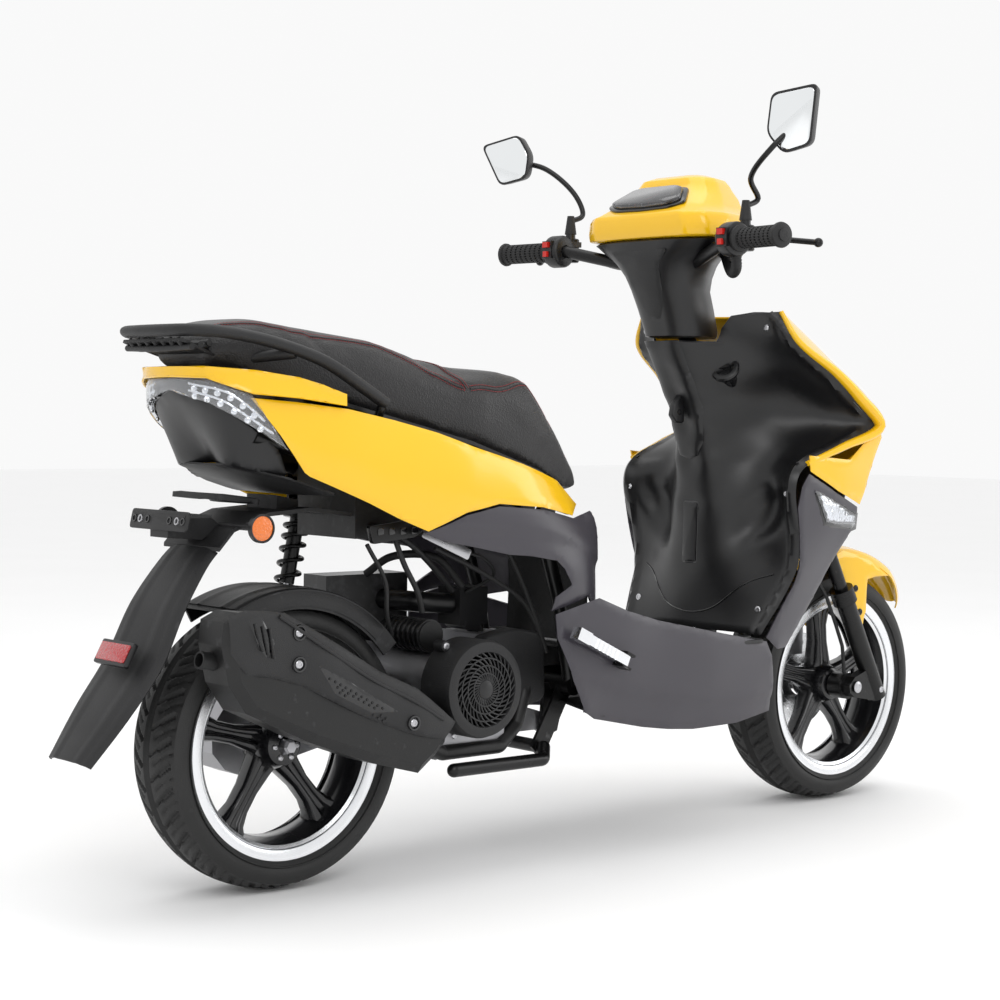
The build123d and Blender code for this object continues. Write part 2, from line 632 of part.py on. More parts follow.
fan = pin(crank_x, crank_z, -cover_face + 8, -50.5, fan_shaft_radius)
fan += pin(crank_x, crank_z, -118, -113, fan_radius)
fan += pin(crank_x, crank_z, -cover_face + 8, -113, 18)
for blade in range(14):
    blade_piece = block((-1.5, -cover_face + 12, 36), (1.5, -116, fan_radius - 1))
    fan += Pos(crank_x, 0, crank_z) * Rot(0, 360 / 14 * blade, 0) * blade_piece
keep("cooling_fan", fan)

starter_x, starter_z = rear((-332, 380))[0]
starter_radius = math.hypot(crank_x - starter_x, crank_z - starter_z) - 68 - fit_gap
keep("starter_motor", pin(starter_x, starter_z, -86, 20, starter_radius))

manifold_foot = rear3((-165, 0, 358))[0]
carb_low = rear3((-225, -28, 386))[0]
carb = block(tuple(carb_low), (carb_low.X + 60, 28, carb_low.Z + 62))
carb += rod(manifold_foot + Vector(0, 0, 4), (manifold_foot.X - 10, 0, carb_low.Z + 20), 14)
carb += rod((carb_low.X + 30, -28, carb_low.Z + 10), (carb_low.X + 30, 28, carb_low.Z + 10), 20)
carb -= barrel
air_box = block(*[tuple(p) for p in rear3((-418, case_low + 4, 386), (-250, case_high - 2, 468))])
duct = bent_rod(
    [Vector(carb_low.X + 5, 0, carb_low.Z + 34), Vector(carb_low.X - 50, 12, carb_low.Z + 38),
     Vector(carb_low.X - 76, case_low + 10, carb_low.Z + 40)], 17, 30
)
air_box_foot = prism(rear((-330, 370), (-262, 366), (-262, 390), (-330, 390)), case_low + 10, case_high - 12)
air_box = air_box + air_box_foot - case
keep("intake", carb + duct - air_box, air_box)

# ---- exhaust ----
muffler_in, muffler_out = 84.0, 172.0
muffler_side = rear(
    (-776, 398), (-772, 432), (-745, 444), (-680, 438), (-597, 395), (-503, 342), (-426, 309), (-352, 256),
    (-362, 222), (-384, 202), (-414, 180), (-501, 203), (-620, 246), (-733, 298), (-763, 340)
)
muffler = prism(muffler_side, -muffler_out, -muffler_in)
edges = muffler.edges().filter_by(Axis.Y, reverse=True)
muffler = chamfer(edges, 14)
hanger = rear((-440, 245), (-372, 240), (-330, 212), (-290, 208), (-290, 197), (-400, 197))
muffler += prism(hanger, -108, -100)
pipe_points = rear3(
    (-130, -58.3, 285), (-132, -88, 283), (-162, -98, 225), (-210, -113, 197), (-330, -114, 197),
    (-400, -128, 225)
)
pipe = bent_rod(pipe_points, 12, 14)
keep("exhaust", muffler + pipe - case - barrel)
shield_side = rear(
    (-772, 442), (-745, 449), (-678, 443), (-597, 400), (-503, 346), (-426, 313), (-349, 255), (-372, 226),
    (-420, 236), (-500, 262), (-640, 330), (-742, 352), (-776, 398)
)
keep("heat_shield", prism(shield_side, -muffler_out - 12, -muffler_out - fit_gap))

# ---- hugger over the rear tyre ----
hugger_inner = tyre_radius + wheel_gap
hugger_half = 70.0
hugger_ring = [(-hugger_half, hugger_inner + 4), (hugger_half, hugger_inner + 4)]
hugger_ring += [(hugger_half, hugger_inner), (-hugger_half, hugger_inner)]
hugger_sector = [(0, 0), (-190, 350), (0, 420), (300, 420), (330, 260)]
sector = [(rear_axle_x + x, axle_z + z) for x, z in hugger_sector]
hugger = turned(hugger_ring, rear_axle_x, axle_z) & prism(sector, -100, 100)
side_ring = [(hugger_half - 4, hugger_inner + 4), (hugger_half, hugger_inner + 4)]
side_ring += [(hugger_half, hugger_inner - 26), (hugger_half - 4, hugger_inner - 26)]
cheek = turned(side_ring, rear_axle_x, axle_z) & prism(sector, -100, 100)
hugger += cheek + mirror(cheek, about=Plane.XZ)
hugger_arm = rear((-560, 440), (-520, 446), (-470, 300), (-540, 290))
hugger += prism(hugger_arm, hugger_half - 1, case_low - fit_gap)
keep("rear_hugger", hugger)

# ---- shock absorber ----
shock_way = (shock_foot - shock_top).normalized()
shock_length = (shock_foot - shock_top).length


def on_shock(distance):
    return shock_top + shock_way * distance


rod_radius = 5.0
body = pin(shock_top.X, shock_top.Z, shock_y - eye_half, shock_y + eye_half, shock_eye_radius)
body += rod(on_shock(8), on_shock(130), 12) + rod(on_shock(17), on_shock(24), coil_radius + 1.5)
body -= pin(shock_top.X, shock_top.Z, 60, 140, shock_bolt_radius + running_gap)
body -= rod(on_shock(18), on_shock(131), rod_radius + running_gap)
keep("shock_body", body)
lower = pin(shock_foot.X, shock_foot.Z, shock_y - eye_half, shock_y + eye_half, shock_eye_radius)
lower += rod(on_shock(shock_length - 36), on_shock(shock_length - 8), eye_half - 0.5)
lower += rod(on_shock(75), on_shock(shock_length - 30), rod_radius)
lower += rod(on_shock(shock_length - 42), on_shock(shock_length - 35), coil_radius + 1.5)
lower -= pin(shock_foot.X, shock_foot.Z, 60, 140, shock_bolt_radius + eye_gap)
keep("shock_rod", lower)
coil = rod(on_shock(24), on_shock(shock_length - 42), coil_radius)
keep("shock_spring", coil - rod(on_shock(23), on_shock(shock_length - 41), coil_radius - 6))

# ---- stand, kick lever, footpegs ----
stand = pin(stand_x, stand_z, -87.7, 87.7, 11) + pin(stand_x, stand_z, -108, 108, 7)
for side in (-1, 1):
    points = rear3((-105, side * 106, 184), (-122, side * 124, 168), (-325, side * 138, 172))
    stand += bent_rod(points, 11, 12) + Pos(*points[0]) * Sphere(11) + Pos(*points[-1]) * Sphere(11)
stand -= pin(stand_x, stand_z, -94.3, -87.7, 20) - pin(stand_x, stand_z, -200, 0, 7)
stand -= pin(stand_x, stand_z, 87.7, 94.3, 20) - pin(stand_x, stand_z, 0, 200, 7)
keep("centre_stand", stand)

kick_out = case_high + 14.0
kick = pin(kick_x, kick_z, case_high - 29.7, kick_out + 6, 7)
kick += bent_rod(rear3((-316, kick_out, 262), (-400, kick_out + 4, 268), (-486, kick_out + 10, 292)), 7, 60)
kick += rod(rear3((-486, kick_out + 4, 292))[0], rear3((-486, kick_out + 62, 292))[0], 9)
keep("kick_lever", kick)

peg_names = {-1: "footpeg_right", 1: "footpeg_left"}
peg_length = 122.0
for side, name in peg_names.items():
    hinge = Vector(peg_hinge.X, side * peg_hinge.Y, peg_hinge.Z)
    place = Plane(origin=hinge, x_dir=peg_way, z_dir=peg_axis)
    peg = place * Pos(peg_length / 2, 0, 0) * Box(peg_length, 16, 17)
    peg += place * Cylinder(8, 17)
    peg += place * Pos(peg_length - 14, 0, 0) * Box(28, 19, 20)
    for groove in range(6):
        peg -= place * Pos(28 + 10 * groove, -side * 9, 0) * Box(4, 5, 18)
    peg -= place * Cylinder(4 + running_gap, 30)
    keep(name, peg)

# ---- body shell, front ----
shield_levels = [
    (322, [(0, 342), (60, 342), (120, 346), (170, 350)]),
    (470, [(0, 347), (50, 350), (120, 385), (205, 405)]),
    (575, [(0, 350), (50, 354), (120, 400), (215, 386)]),
    (655, [(0, 343), (50, 348), (110, 420), (218, 408)]),
    (720, [(0, 336), (48, 342), (104, 432), (236, 600)]),
    (774, [(0, 314), (48, 320), (98, 418), (230, 540)]),
    (815, [(0, 288), (46, 296), (84, 372), (222, 490)]),
    (869, [(0, 258), (46, 266), (88, 344), (200, 405)]),
    (922, [(0, 246), (50, 254), (112, 318), (172, 388)]),
]
shield_wall = 6.0


def shield_ring(half, start, end):
    """Plan ring of the inner shield between two depths measured forward of its face."""
    line = [(x + front_shift, -y) for y, x in reversed(half)] + [(x + front_shift, y) for y, x in half[1:]]
    return [(x + start, y) for x, y in line] + [(x + end, y) for x, y in reversed(line)]


shield = stack([(z + lift, shield_ring(half, 0, shield_wall)) for z, half in shield_levels])
neck_sweep = 104.0
neck_dip = 22.0
steer_clear = rod(on_stem(stem_low + 355), on_stem(stem_top + 60), neck_sweep)
shield -= steer_clear & block((0, -200, neck_sections[0][0] - neck_dip), (800, 200, 1200))
shield &= block((-2000, -400, 349 + lift), (2000, 400, 2000))
lock_place = front3((352, -76, 818))[0]
lock_way = Vector(-0.75, -0.35, 0.56).normalized()
lock_radius = 17.0
shield -= rod(lock_place - lock_way * 40, lock_place + lock_way * 30, lock_radius + fit_gap)
keep("leg_shield", shield)
lock = rod(lock_place - lock_way * 34, lock_place + lock_way * 4, lock_radius)
lock += Plane(origin=lock_place + lock_way * 8, x_dir=(0.5, -0.8, 0.2), z_dir=lock_way) * Box(20, 5, 10)
keep("ignition_lock", lock)

cowl_levels = [
    (650, [(219, 470), (190, 600), (90, 655), (0, 668)]),
    (720, [(236, 607), (215, 640), (100, 690), (0, 702)]),
    (774, [(230, 547), (190, 620), (90, 672), (0, 684)]),
    (815, [(222, 497), (170, 585), (80, 640), (0, 652)]),
    (869, [(200, 412), (150, 520), (70, 580), (0, 592)]),
    (926, [(171, 395), (125, 450), (60, 490), (0, 500)]),
]


def cowl_ring(half):
    right = [(x + front_shift, -y) for y, x in half]
    inner = [(half[0][0] - 4, half[0][1] + 2)] + [(max(y - 4, 0) * 0.98, x - 6) for y, x in half[1:]]
    left = [(x + front_shift, y) for y, x in reversed(half[:-1])]
    back_left = [(x + front_shift, y) for y, x in inner]
    back_right = [(x + front_shift, -y) for y, x in reversed(inner[:-1])]
    return right + left + back_left + back_right


cowl = stack([(z + lift, cowl_ring(half)) for z, half in cowl_levels])
beam_outline = front((640, 664), (640, 735), (760, 735), (760, 664))
lamp_half = 92.0
lamp = cowl & prism(beam_outline, -lamp_half + fit_gap, lamp_half - fit_gap)
cowl -= prism(beam_outline, -lamp_half, lamp_half)
lamp = lamp & prism(front((641, 664.3), (641, 734.7), (760, 734.7), (760, 664.3)), -lamp_half, lamp_half)
keep("front_cowl", cowl - shield)

side_levels = [
    (322, [(392, 176), (424, 168)]),
    (345, [(357, 182), (438, 172)]),
    (470, [(411.5, 209), (520, 188)]),
    (575, [(392.5, 219), (596, 196)]),
    (648, [(415, 222), (612, 204)]),
]


def slab(levels, raise_by, wall):
    """A thin upright sheet through two-point rows of (x, y) at each height."""
    rings = []
    for z, ((x0, y0), (x1, y1)) in levels:
        a, b = (x0 + front_shift, y0 + raise_by), (x1 + front_shift, y1 + raise_by)
        rings.append((z + lift, [a, b, (b[0], b[1] - wall), (a[0], a[1] - wall)]))
    return stack(rings)


side_cover = slab(side_levels, 0, panel_wall)
lens_outline = front((430, 606), (575, 556), (575, 536), (468, 548))
side_lens = slab(side_levels, 1.5, panel_wall + 1) & prism(lens_outline, 100, 300)
side_cover -= prism(lens_outline, 100, 300)
side_cover -= shield
keep("front_lamps", lamp, *both_sides(side_lens))

skirt_side = [rear((-158, 414))[0], rear((-158, 376))[0], rear((-92, 250))[0], rear((-66, 236))[0]]
skirt_side += front((49, 212), (175, 197), (287, 198), (384, 211), (368, 313), (356, 339), (73, 392))
skirt_side += [rear((-62, 436))[0]]
skirt = prism(skirt_side, floor_half_width + fit_gap, floor_half_width + fit_gap + panel_wall)
skirt -= rod((cross_x, 100, cross_z + 30), (peg_hinge.X, 230, peg_hinge.Z), 13)
brace_x = front((352, 330))[0]
brace = block((brace_x[0] - 12, 168, 322 + lift), (brace_x[0] + 34, floor_half_width + 2, 338 + lift))
keep("side_skirts", *both_sides(side_cover), *both_sides(skirt + (brace - side_cover)))

floor_back = rear3((-18, 0, 0))[0].X
floor_front = front3((341.5, 0, 0))[0].X
board = block((floor_back, -floor_half_width, 338 + lift), (floor_front, floor_half_width, 345 + lift))
for ridge in range(9):
    ridge_y = -120 + ridge * 30
    board += block((floor_back + 60, ridge_y - 5, 344 + lift), (floor_front - 30, ridge_y + 5, 347 + lift))
keep("floorboard", board)

# ---- body shell, seat base and tail ----


def skin(outline, plan):
    """The stretch of an upright curved wall, given in plan, that lies within a side outline."""
    ring = plan + [(x, y - panel_wall) for x, y in reversed(plan)]
    sheet = plan_prism(ring, 100, 1200)
    return sheet & prism(outline, 0, 400)


base_line = [(-420, 172), (-300, 186), (-160, 184), (-60, 150), (-8, 104)]
base_plan = [(x + rear_shift, y) for x, y in base_line]
base_outline = rear(
    (-410, 548), (-338, 574), (-273, 588), (-175, 581), (-88, 565), (-12, 575), (6, 560), (16, 490),
    (10, 424), (-30, 414), (-60, 438), (-158, 417), (-150, 440), (-114, 459), (-150, 500), (-249, 512),
    (-373, 535)
)
base_side = skin(base_outline, base_plan)
nose_line = [(-8.0, 104.0), (8.0, 60.0), (14.0, 0.0)]
nose = [(x + rear_shift, y) for x, y in nose_line]
nose += [(x, -y) for x, y in reversed(nose[:-1])]
nose_ring = nose + [(x - panel_wall, y * 0.99) for x, y in reversed(nose)]
post_cover = plan_prism(nose_ring, 345 + lift, 554 + lift)
keep("seat_base_panels", *both_sides(base_side - post_cover), post_cover)

side_line = [(-712, 136), (-638, 152), (-467, 170), (-316, 181), (-180, 168), (-54, 128)]
side_plan = [(x + rear_shift, y) for x, y in side_line]
side_outline = rear(
    (-708, 753), (-638, 747), (-467, 722), (-316, 682), (-118, 628), (-54, 586), (-88, 568.5), (-175, 584.5),
    (-273, 591.5), (-339, 577.5), (-406, 551), (-515, 596), (-615, 636), (-625, 642)
)
side_panel = skin(side_outline, side_plan)
tail_half = [(-560, 158), (-640, 150), (-705, 134), (-745, 100), (-764, 55), (-769, 0)]


def tail_band(outline, inset, wall):
    """A band that wraps the tail between two slanted side-view lines."""
    outer = [(x + inset + rear_shift, max(y - inset, 0)) for x, y in tail_half]
    inner = [(x + wall + inset + rear_shift, max(y - wall - inset, 0)) for x, y in tail_half]
    ring = outer + [(x, -y) for x, y in reversed(outer[:-1])]
    ring += [(x, -y) for x, y in inner] + [(x, y) for x, y in reversed(inner[:-1])]
    return plan_prism(ring, 500, 900) & prism(outline, -300, 300)


strip_outline = rear(
    (-770, 782), (-768, 795), (-640, 783), (-556, 762), (-556, 748), (-640, 755), (-708, 758.5)
)
lens_side = rear((-775, 780), (-740, 732), (-654, 676), (-640, 700), (-710, 753), (-708, 757.5))
under_side = rear((-740, 731), (-728, 690), (-700, 640), (-626, 630), (-628, 641), (-654, 674.5))
tail_top = tail_band(strip_outline, 0, panel_wall)
keep("side_panels", *both_sides(side_panel), tail_top - side_panel - mirror(side_panel, about=Plane.XZ))
lens = tail_band(lens_side, 0, 4) - side_panel - mirror(side_panel, about=Plane.XZ)
keep("tail_lamp_lens", lens)
housing = tail_band(lens_side, 4.0, 12) + tail_band(under_side, 0, 16)
housing -= side_panel + mirror(side_panel, about=Plane.XZ)
floor_plate = rear((-716, 646), (-716, 654), (-560, 606), (-560, 598))
tail_hull = [(x + 2 + rear_shift, y - 2) for x, y in tail_half[:-1]]
tail_hull += [(x, -y) for x, y in reversed(tail_hull)]
housing += prism(floor_plate, -200, 200) & plan_prism(tail_hull, 500, 900)
housing += block(
    (tail_x - 14, -90, at_rail(tail_x) - 60), (tail_x + 14, 90, at_rail(tail_x) - 10 - fit_gap)
)
frame_clear = pin(tail_x, at_rail(tail_x), -200, 200, 10)
keep("tail_housing", housing - frame_clear)

# ---- seat, bucket, tank ----
seat_base = rear((-742, 797), (-509, 744), (-273, 690), (-118, 640), (-36, 600))
seat_top = rear(
    (4, 608), (2, 636), (-30, 672), (-64, 709), (-100, 748), (-133, 782), (-160, 798), (-200, 803),
    (-296, 803), (-357, 814), (-456, 843), (-582, 856), (-660, 868), (-720, 866), (-755, 852),
    (-762, 822)
)
seat_plan = [(x + rear_shift, y) for x, y in [
    (-770, 74), (-700, 106), (-560, 118), (-400, 130), (-260, 138), (-150, 126), (-60, 96), (10, 70)
]]
seat_ring = seat_plan + [(x, -y) for x, y in reversed(seat_plan)]
cushion = prism(seat_base + seat_top, -200, 200) & plan_prism(seat_ring, 400, 1100)
keep("seat_cushion", cushion)
pan_wall = 6.0
pan_outline = seat_base + [(x, z - pan_wall) for x, z in reversed(seat_base)]
pan = prism(pan_outline, -112, 112) & plan_prism([(x, y * 0.93) for x, y in seat_ring], 400, 1100)
pan += prism(rear((-52, 602), (-36, 592), (-18, 590), (-18, 577), (-38, 577)), -hinge_half, hinge_half)
pan -= prism(seat_base + seat_top, -200, 200)
pan -= pin(seat_hinge_x, seat_hinge_z, -99, 99, hinge_pin_radius + running_gap)
keep("seat_pan", pan)


def flange(x0, x1, inner_half):
    """Two ears that lie on the seat rails and carry what hangs between them."""
    rise = rail_radius / math.cos(math.atan2(140, 580)) + 0.1
    z0, z1 = at_rail(x0) + rise, at_rail(x1) + rise
    outline = [(x0, z0), (x1, z1), (x1, z1 + 4), (x0, z0 + 4)]
    strip = prism(outline, inner_half - 2, rail_half_track + 8)
    return strip + mirror(strip, about=Plane.XZ)


bucket_half = 76.0
bucket_wall = 3.0
bucket_x = [rear((x, 0))[0][0] for x in (-478.0, -150.0)]
bucket_low = 538.0 + lift


def below_pan(x, gap):
    (x0, z0), (x1, z1), (x2, z2), (x3, z3) = seat_base[0], seat_base[1], seat_base[2], seat_base[3]
    for (a, za), (b, zb) in (((x0, z0), (x1, z1)), ((x1, z1), (x2, z2)), ((x2, z2), (x3, z3))):
        if a <= x <= b:
            return za + (zb - za) * (x - a) / (b - a) - pan_wall - gap
    return z3 - pan_wall - gap


def pan_gap_outline(x0, x1, low, gap):
    top = [(x0, below_pan(x0, gap))]
    top += [(x, below_pan(x, gap)) for x, _ in seat_base if x0 < x < x1]
    top += [(x1, below_pan(x1, gap))]
    return [(x0, low)] + top + [(x1, low)]


bucket = prism(pan_gap_outline(*bucket_x, bucket_low, 1.0), -bucket_half, bucket_half)
hollow = pan_gap_outline(bucket_x[0] + bucket_wall, bucket_x[1] - bucket_wall, bucket_low + bucket_wall, -30)
bucket -= prism(hollow, -bucket_half + bucket_wall, bucket_half - bucket_wall)
lip = flange(bucket_x[0] + 20, bucket_x[1] - 20, bucket_half)
bucket += lip - prism(hollow, -bucket_half + 2, bucket_half - 2)
keep("luggage_bucket", bucket)

tank_x = [rear((x, 0))[0][0] for x in (-668.0, -490.0)]
tank = prism(pan_gap_outline(*tank_x, 656.0 + lift, 20.0), -bucket_half, bucket_half)
tank += flange(tank_x[0] + 10, tank_x[1] - 10, bucket_half)
cap_x = tank_x[0] + 60
tank += rod((cap_x, 0, below_pan(cap_x, 60)), (cap_x, 0, below_pan(cap_x, 8)), 22)
keep("fuel_tank", tank - housing - frame)

# ---- grab rail, rear mudguard, flap, reflectors ----
loop_side = [(-476, 147, 744), (-590, 150, 803), (-700, 136, 834), (-788, 96, 843)]
loop_points = rear3(*loop_side) + rear3(*[(x, -y, z) for x, y, z in reversed(loop_side)])
loop = bent_rod(loop_points, 12, 22)
for side in (-1, 1):
    foot_x = rear3((-480, 0, 0))[0].X
    foot_z = at_rail(foot_x) + 12.6
    loop += rod((foot_x, side * 144, 744 + lift), (foot_x, side * 112, foot_z + 30), 7)
    loop += rod((foot_x, side * 112, foot_z + 34), (foot_x, side * 108, foot_z), 7)
    loop -= rod((foot_x, side * 108, foot_z - 40), (foot_x, side * 108, foot_z), 30)
loop += prism(rear((-782, 812), (-770, 812), (-786, 838), (-798, 838)), -88, 88)
keep("grab_rail", loop - frame - side_panel)

arm_x, arm_z = rear((-688, 562))[0]
reflector_arm = 124.0
guard_line = rear((-484, 579), (-560, 588), (-640, 582), (-700, 560), (-726, 532))
guard_ring = guard_line + [(x, z - 6) for x, z in reversed(guard_line)]
guard = prism(guard_ring, -76, 76)
guard += prism(rear((-600, 585), (-560, 587), (-560, 598), (-600, 606)), -40, 40)
guard += prism(rear((-690, 562), (-714, 578), (-782, 577), (-782, 545), (-722, 541)), -24, 24)
plate_holes = rear((-756, 562))[0]
plate = block((plate_holes[0] - 26, -70, plate_holes[1] + 14), (plate_holes[0] + 20, 70, plate_holes[1] + 18))
plate_bolt = 3.2
plate_spacing = 100.0
for side in (-1, 1):
    plate -= rod(
        (plate_holes[0] - 3, side * plate_spacing / 2, plate_holes[1]),
        (plate_holes[0] - 3, side * plate_spacing / 2, plate_holes[1] + 30), plate_bolt
    )
guard += plate
for side in (-1, 1):
    ends = sorted((side * 20, side * reflector_arm))
    guard += pin(arm_x, arm_z, ends[0], ends[1], 5)
keep("rear_mudguard", guard - housing)

flap_line = [(rear_axle_x + x, z + lift) for x, z in [
    (-145, 526.7), (-160, 512), (-207, 447), (-248, 366), (-300, 296), (-mudflap_reach, 226)
]]
flap_ring = flap_line + [(x + 6, z - 5) for x, z in reversed(flap_line)]
flap_plate = prism(flap_ring, -76, 76)
taper_line = [(-100, 62), (-260, 76), (6 - mudflap_reach, 66), (-mudflap_reach - 1, 58)]
taper = [(rear_axle_x + x, y) for x, y in taper_line]
taper += [(x, -y) for x, y in reversed(taper)]
mudflap = (flap_plate & plan_prism(taper, 0, 900)) - guard
keep("mudflap", mudflap)

red_side = [(-268, 388), (-262, 392), (-248, 362), (-254, 358)]
red_half = 42.0
red = prism([(rear_axle_x + x, z + lift) for x, z in red_side], -red_half, red_half)
discs = []
for side in (-1, 1):
    ends = sorted((side * reflector_arm, side * (reflector_arm + 8)))
    discs.append(pin(arm_x, arm_z, ends[0], ends[1], 21))
keep("reflectors", red - mudflap, *discs)

os.makedirs("parts", exist_ok=True)
for name, shape in nodes.items():
    export_step(shape, f"parts/{name}.step")
print(len(nodes), "nodes")
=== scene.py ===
import json
import math

import bmesh
import bpy
import numpy as np
from mathutils import Matrix, Vector
from mathutils.bvhtree import BVHTree

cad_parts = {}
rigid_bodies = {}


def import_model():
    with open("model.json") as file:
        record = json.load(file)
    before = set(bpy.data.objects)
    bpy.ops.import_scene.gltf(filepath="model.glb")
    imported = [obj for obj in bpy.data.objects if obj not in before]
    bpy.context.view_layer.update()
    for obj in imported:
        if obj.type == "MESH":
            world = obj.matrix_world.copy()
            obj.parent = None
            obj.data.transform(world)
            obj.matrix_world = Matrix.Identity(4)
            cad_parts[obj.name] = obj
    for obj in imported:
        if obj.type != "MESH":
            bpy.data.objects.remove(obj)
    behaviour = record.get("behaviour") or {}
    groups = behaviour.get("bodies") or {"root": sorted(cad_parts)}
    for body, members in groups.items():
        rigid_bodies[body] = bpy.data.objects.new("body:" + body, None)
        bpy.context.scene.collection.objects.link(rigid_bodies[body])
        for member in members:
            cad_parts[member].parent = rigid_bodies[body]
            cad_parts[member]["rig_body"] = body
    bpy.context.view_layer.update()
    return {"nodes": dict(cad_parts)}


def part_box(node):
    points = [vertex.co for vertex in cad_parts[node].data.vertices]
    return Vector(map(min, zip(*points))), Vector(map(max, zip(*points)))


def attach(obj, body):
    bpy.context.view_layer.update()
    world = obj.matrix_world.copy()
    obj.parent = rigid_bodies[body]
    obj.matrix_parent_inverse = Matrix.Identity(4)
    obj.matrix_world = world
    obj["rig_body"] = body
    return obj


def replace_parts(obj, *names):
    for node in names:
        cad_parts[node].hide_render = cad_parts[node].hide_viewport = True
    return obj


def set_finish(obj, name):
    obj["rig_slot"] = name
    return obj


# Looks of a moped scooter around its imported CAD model. Lengths are millimetres in the row
# frame (+X forward, +Y left, +Z up) and become metres in mesh_piece().

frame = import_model()
nodes = frame["nodes"]
MM = 0.001
RIGHT, LEFT = -1, 1


def middle(node):
    """Centre of a CAD node's box, in millimetres."""
    low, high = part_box(node)
    return (low + high) / 2 / MM


def low_of(node):
    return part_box(node)[0] / MM


def high_of(node):
    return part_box(node)[1] / MM


front_axle = Vector((middle("front_tyre").x, 0, middle("front_tyre").z))
rear_axle = Vector((middle("rear_tyre").x, 0, middle("rear_tyre").z))
tyre_radius = high_of("rear_tyre").z - rear_axle.z
rake = math.radians(28)
up = Vector((-math.sin(rake), 0, math.cos(rake)))

# ---- camera at the photograph's viewing angle ----
camera_data = bpy.data.cameras.new("camera")
camera_data.lens = 75.2
camera_data.sensor_width = 36
camera = bpy.data.objects.new("camera", camera_data)
bpy.context.scene.collection.objects.link(camera)
yaw, pitch, roll = (math.radians(a) for a in (48.872, -2.3227, 0.8165))
look = Vector((math.cos(yaw) * math.cos(pitch), math.sin(yaw) * math.cos(pitch), math.sin(pitch)))
side = look.cross(Vector((0, 0, 1))).normalized()
top = side.cross(look)
side, top = side * math.cos(roll) + top * math.sin(roll), top * math.cos(roll) - side * math.sin(roll)
camera.matrix_world = Matrix((
    (side.x, top.x, -look.x, -2.4245),
    (side.y, top.y, -look.y, -2.6435),
    (side.z, top.z, -look.z, 0.7317),
    (0, 0, 0, 1),
))
bpy.context.scene.camera = camera

# ---- materials ----


def linked(tree, kind, inputs=(), **settings):
    """A shader node with its settings and its constant or linked inputs."""
    node = tree.nodes.new(kind)
    for name, value in settings.items():
        setattr(node, name, value)
    for name, value in dict(inputs).items():
        if isinstance(value, bpy.types.NodeSocket):
            tree.links.new(value, node.inputs[name])
        else:
            node.inputs[name].default_value = value
    return node


def finish(name, dark, light, rough, metallic=0.0, grain=("noise", 900, 0.02), tone=7.0, wear=None,
    **sockets):
    """Colour that drifts between two tones, roughness that drifts with it, a fine bump, and
    a paler tone along worn edges."""
    material = bpy.data.materials.new(name)
    material.use_nodes = True
    tree = material.node_tree
    shader = tree.nodes["Principled BSDF"]
    place = tree.nodes.new("ShaderNodeTexCoord").outputs["Object"]
    drift = linked(tree, "ShaderNodeTexNoise", {"Vector": place, "Scale": tone, "Detail": 5.0}).outputs["Fac"]
    tones = linked(tree, "ShaderNodeMix", {"Factor": drift}, data_type="RGBA")
    tones.inputs[6].default_value = (*dark, 1)
    tones.inputs[7].default_value = (*light, 1)
    colour = tones.outputs[2]
    if wear:
        worn_colour, amount = wear
        edge = tree.nodes.new("ShaderNodeNewGeometry").outputs["Pointiness"]
        spots = linked(tree, "ShaderNodeTexNoise", {"Vector": place, "Scale": 60.0,
            "Detail": 8.0}).outputs["Fac"]
        shifted = linked(tree, "ShaderNodeMath", {0: edge, 1: spots}, operation="MULTIPLY").outputs[0]
        mask = linked(tree, "ShaderNodeMapRange", {"Value": shifted, "From Min": 0.37, "From Max": 0.47,
            "To Max": amount})
        worn = linked(tree, "ShaderNodeMix", {"Factor": mask.outputs[0]}, data_type="RGBA")
        tree.links.new(colour, worn.inputs[6])
        worn.inputs[7].default_value = (*worn_colour, 1)
        colour = worn.outputs[2]
    tree.links.new(colour, shader.inputs["Base Color"])
    spread = linked(tree, "ShaderNodeMapRange", {"Value": drift, "From Min": 0.3, "From Max": 0.7})
    spread.inputs["To Min"].default_value = rough * 0.82
    spread.inputs["To Max"].default_value = min(rough * 1.18, 1)
    tree.links.new(spread.outputs[0], shader.inputs["Roughness"])
    kind, scale, height = grain
    if kind == "noise":
        fine = linked(tree, "ShaderNodeTexNoise", {"Vector": place, "Scale": scale,
            "Detail": 4.0}).outputs["Fac"]
    elif kind == "cells":
        fine = linked(tree, "ShaderNodeTexVoronoi", {"Vector": place, "Scale": scale},
            feature="SMOOTH_F1").outputs[0]
    else:
        fine = linked(tree, "ShaderNodeTexWave", {"Vector": place, "Scale": scale,
            "Distortion": 0.3}).outputs[1]
    bump = linked(tree, "ShaderNodeBump", {"Height": fine, "Strength": 0.5, "Distance": height * 0.01})
    tree.links.new(bump.outputs[0], shader.inputs["Normal"])
    shader.inputs["Metallic"].default_value = metallic
    for socket, value in sockets.items():
        shader.inputs[socket.replace("_", " ")].default_value = value
    return material


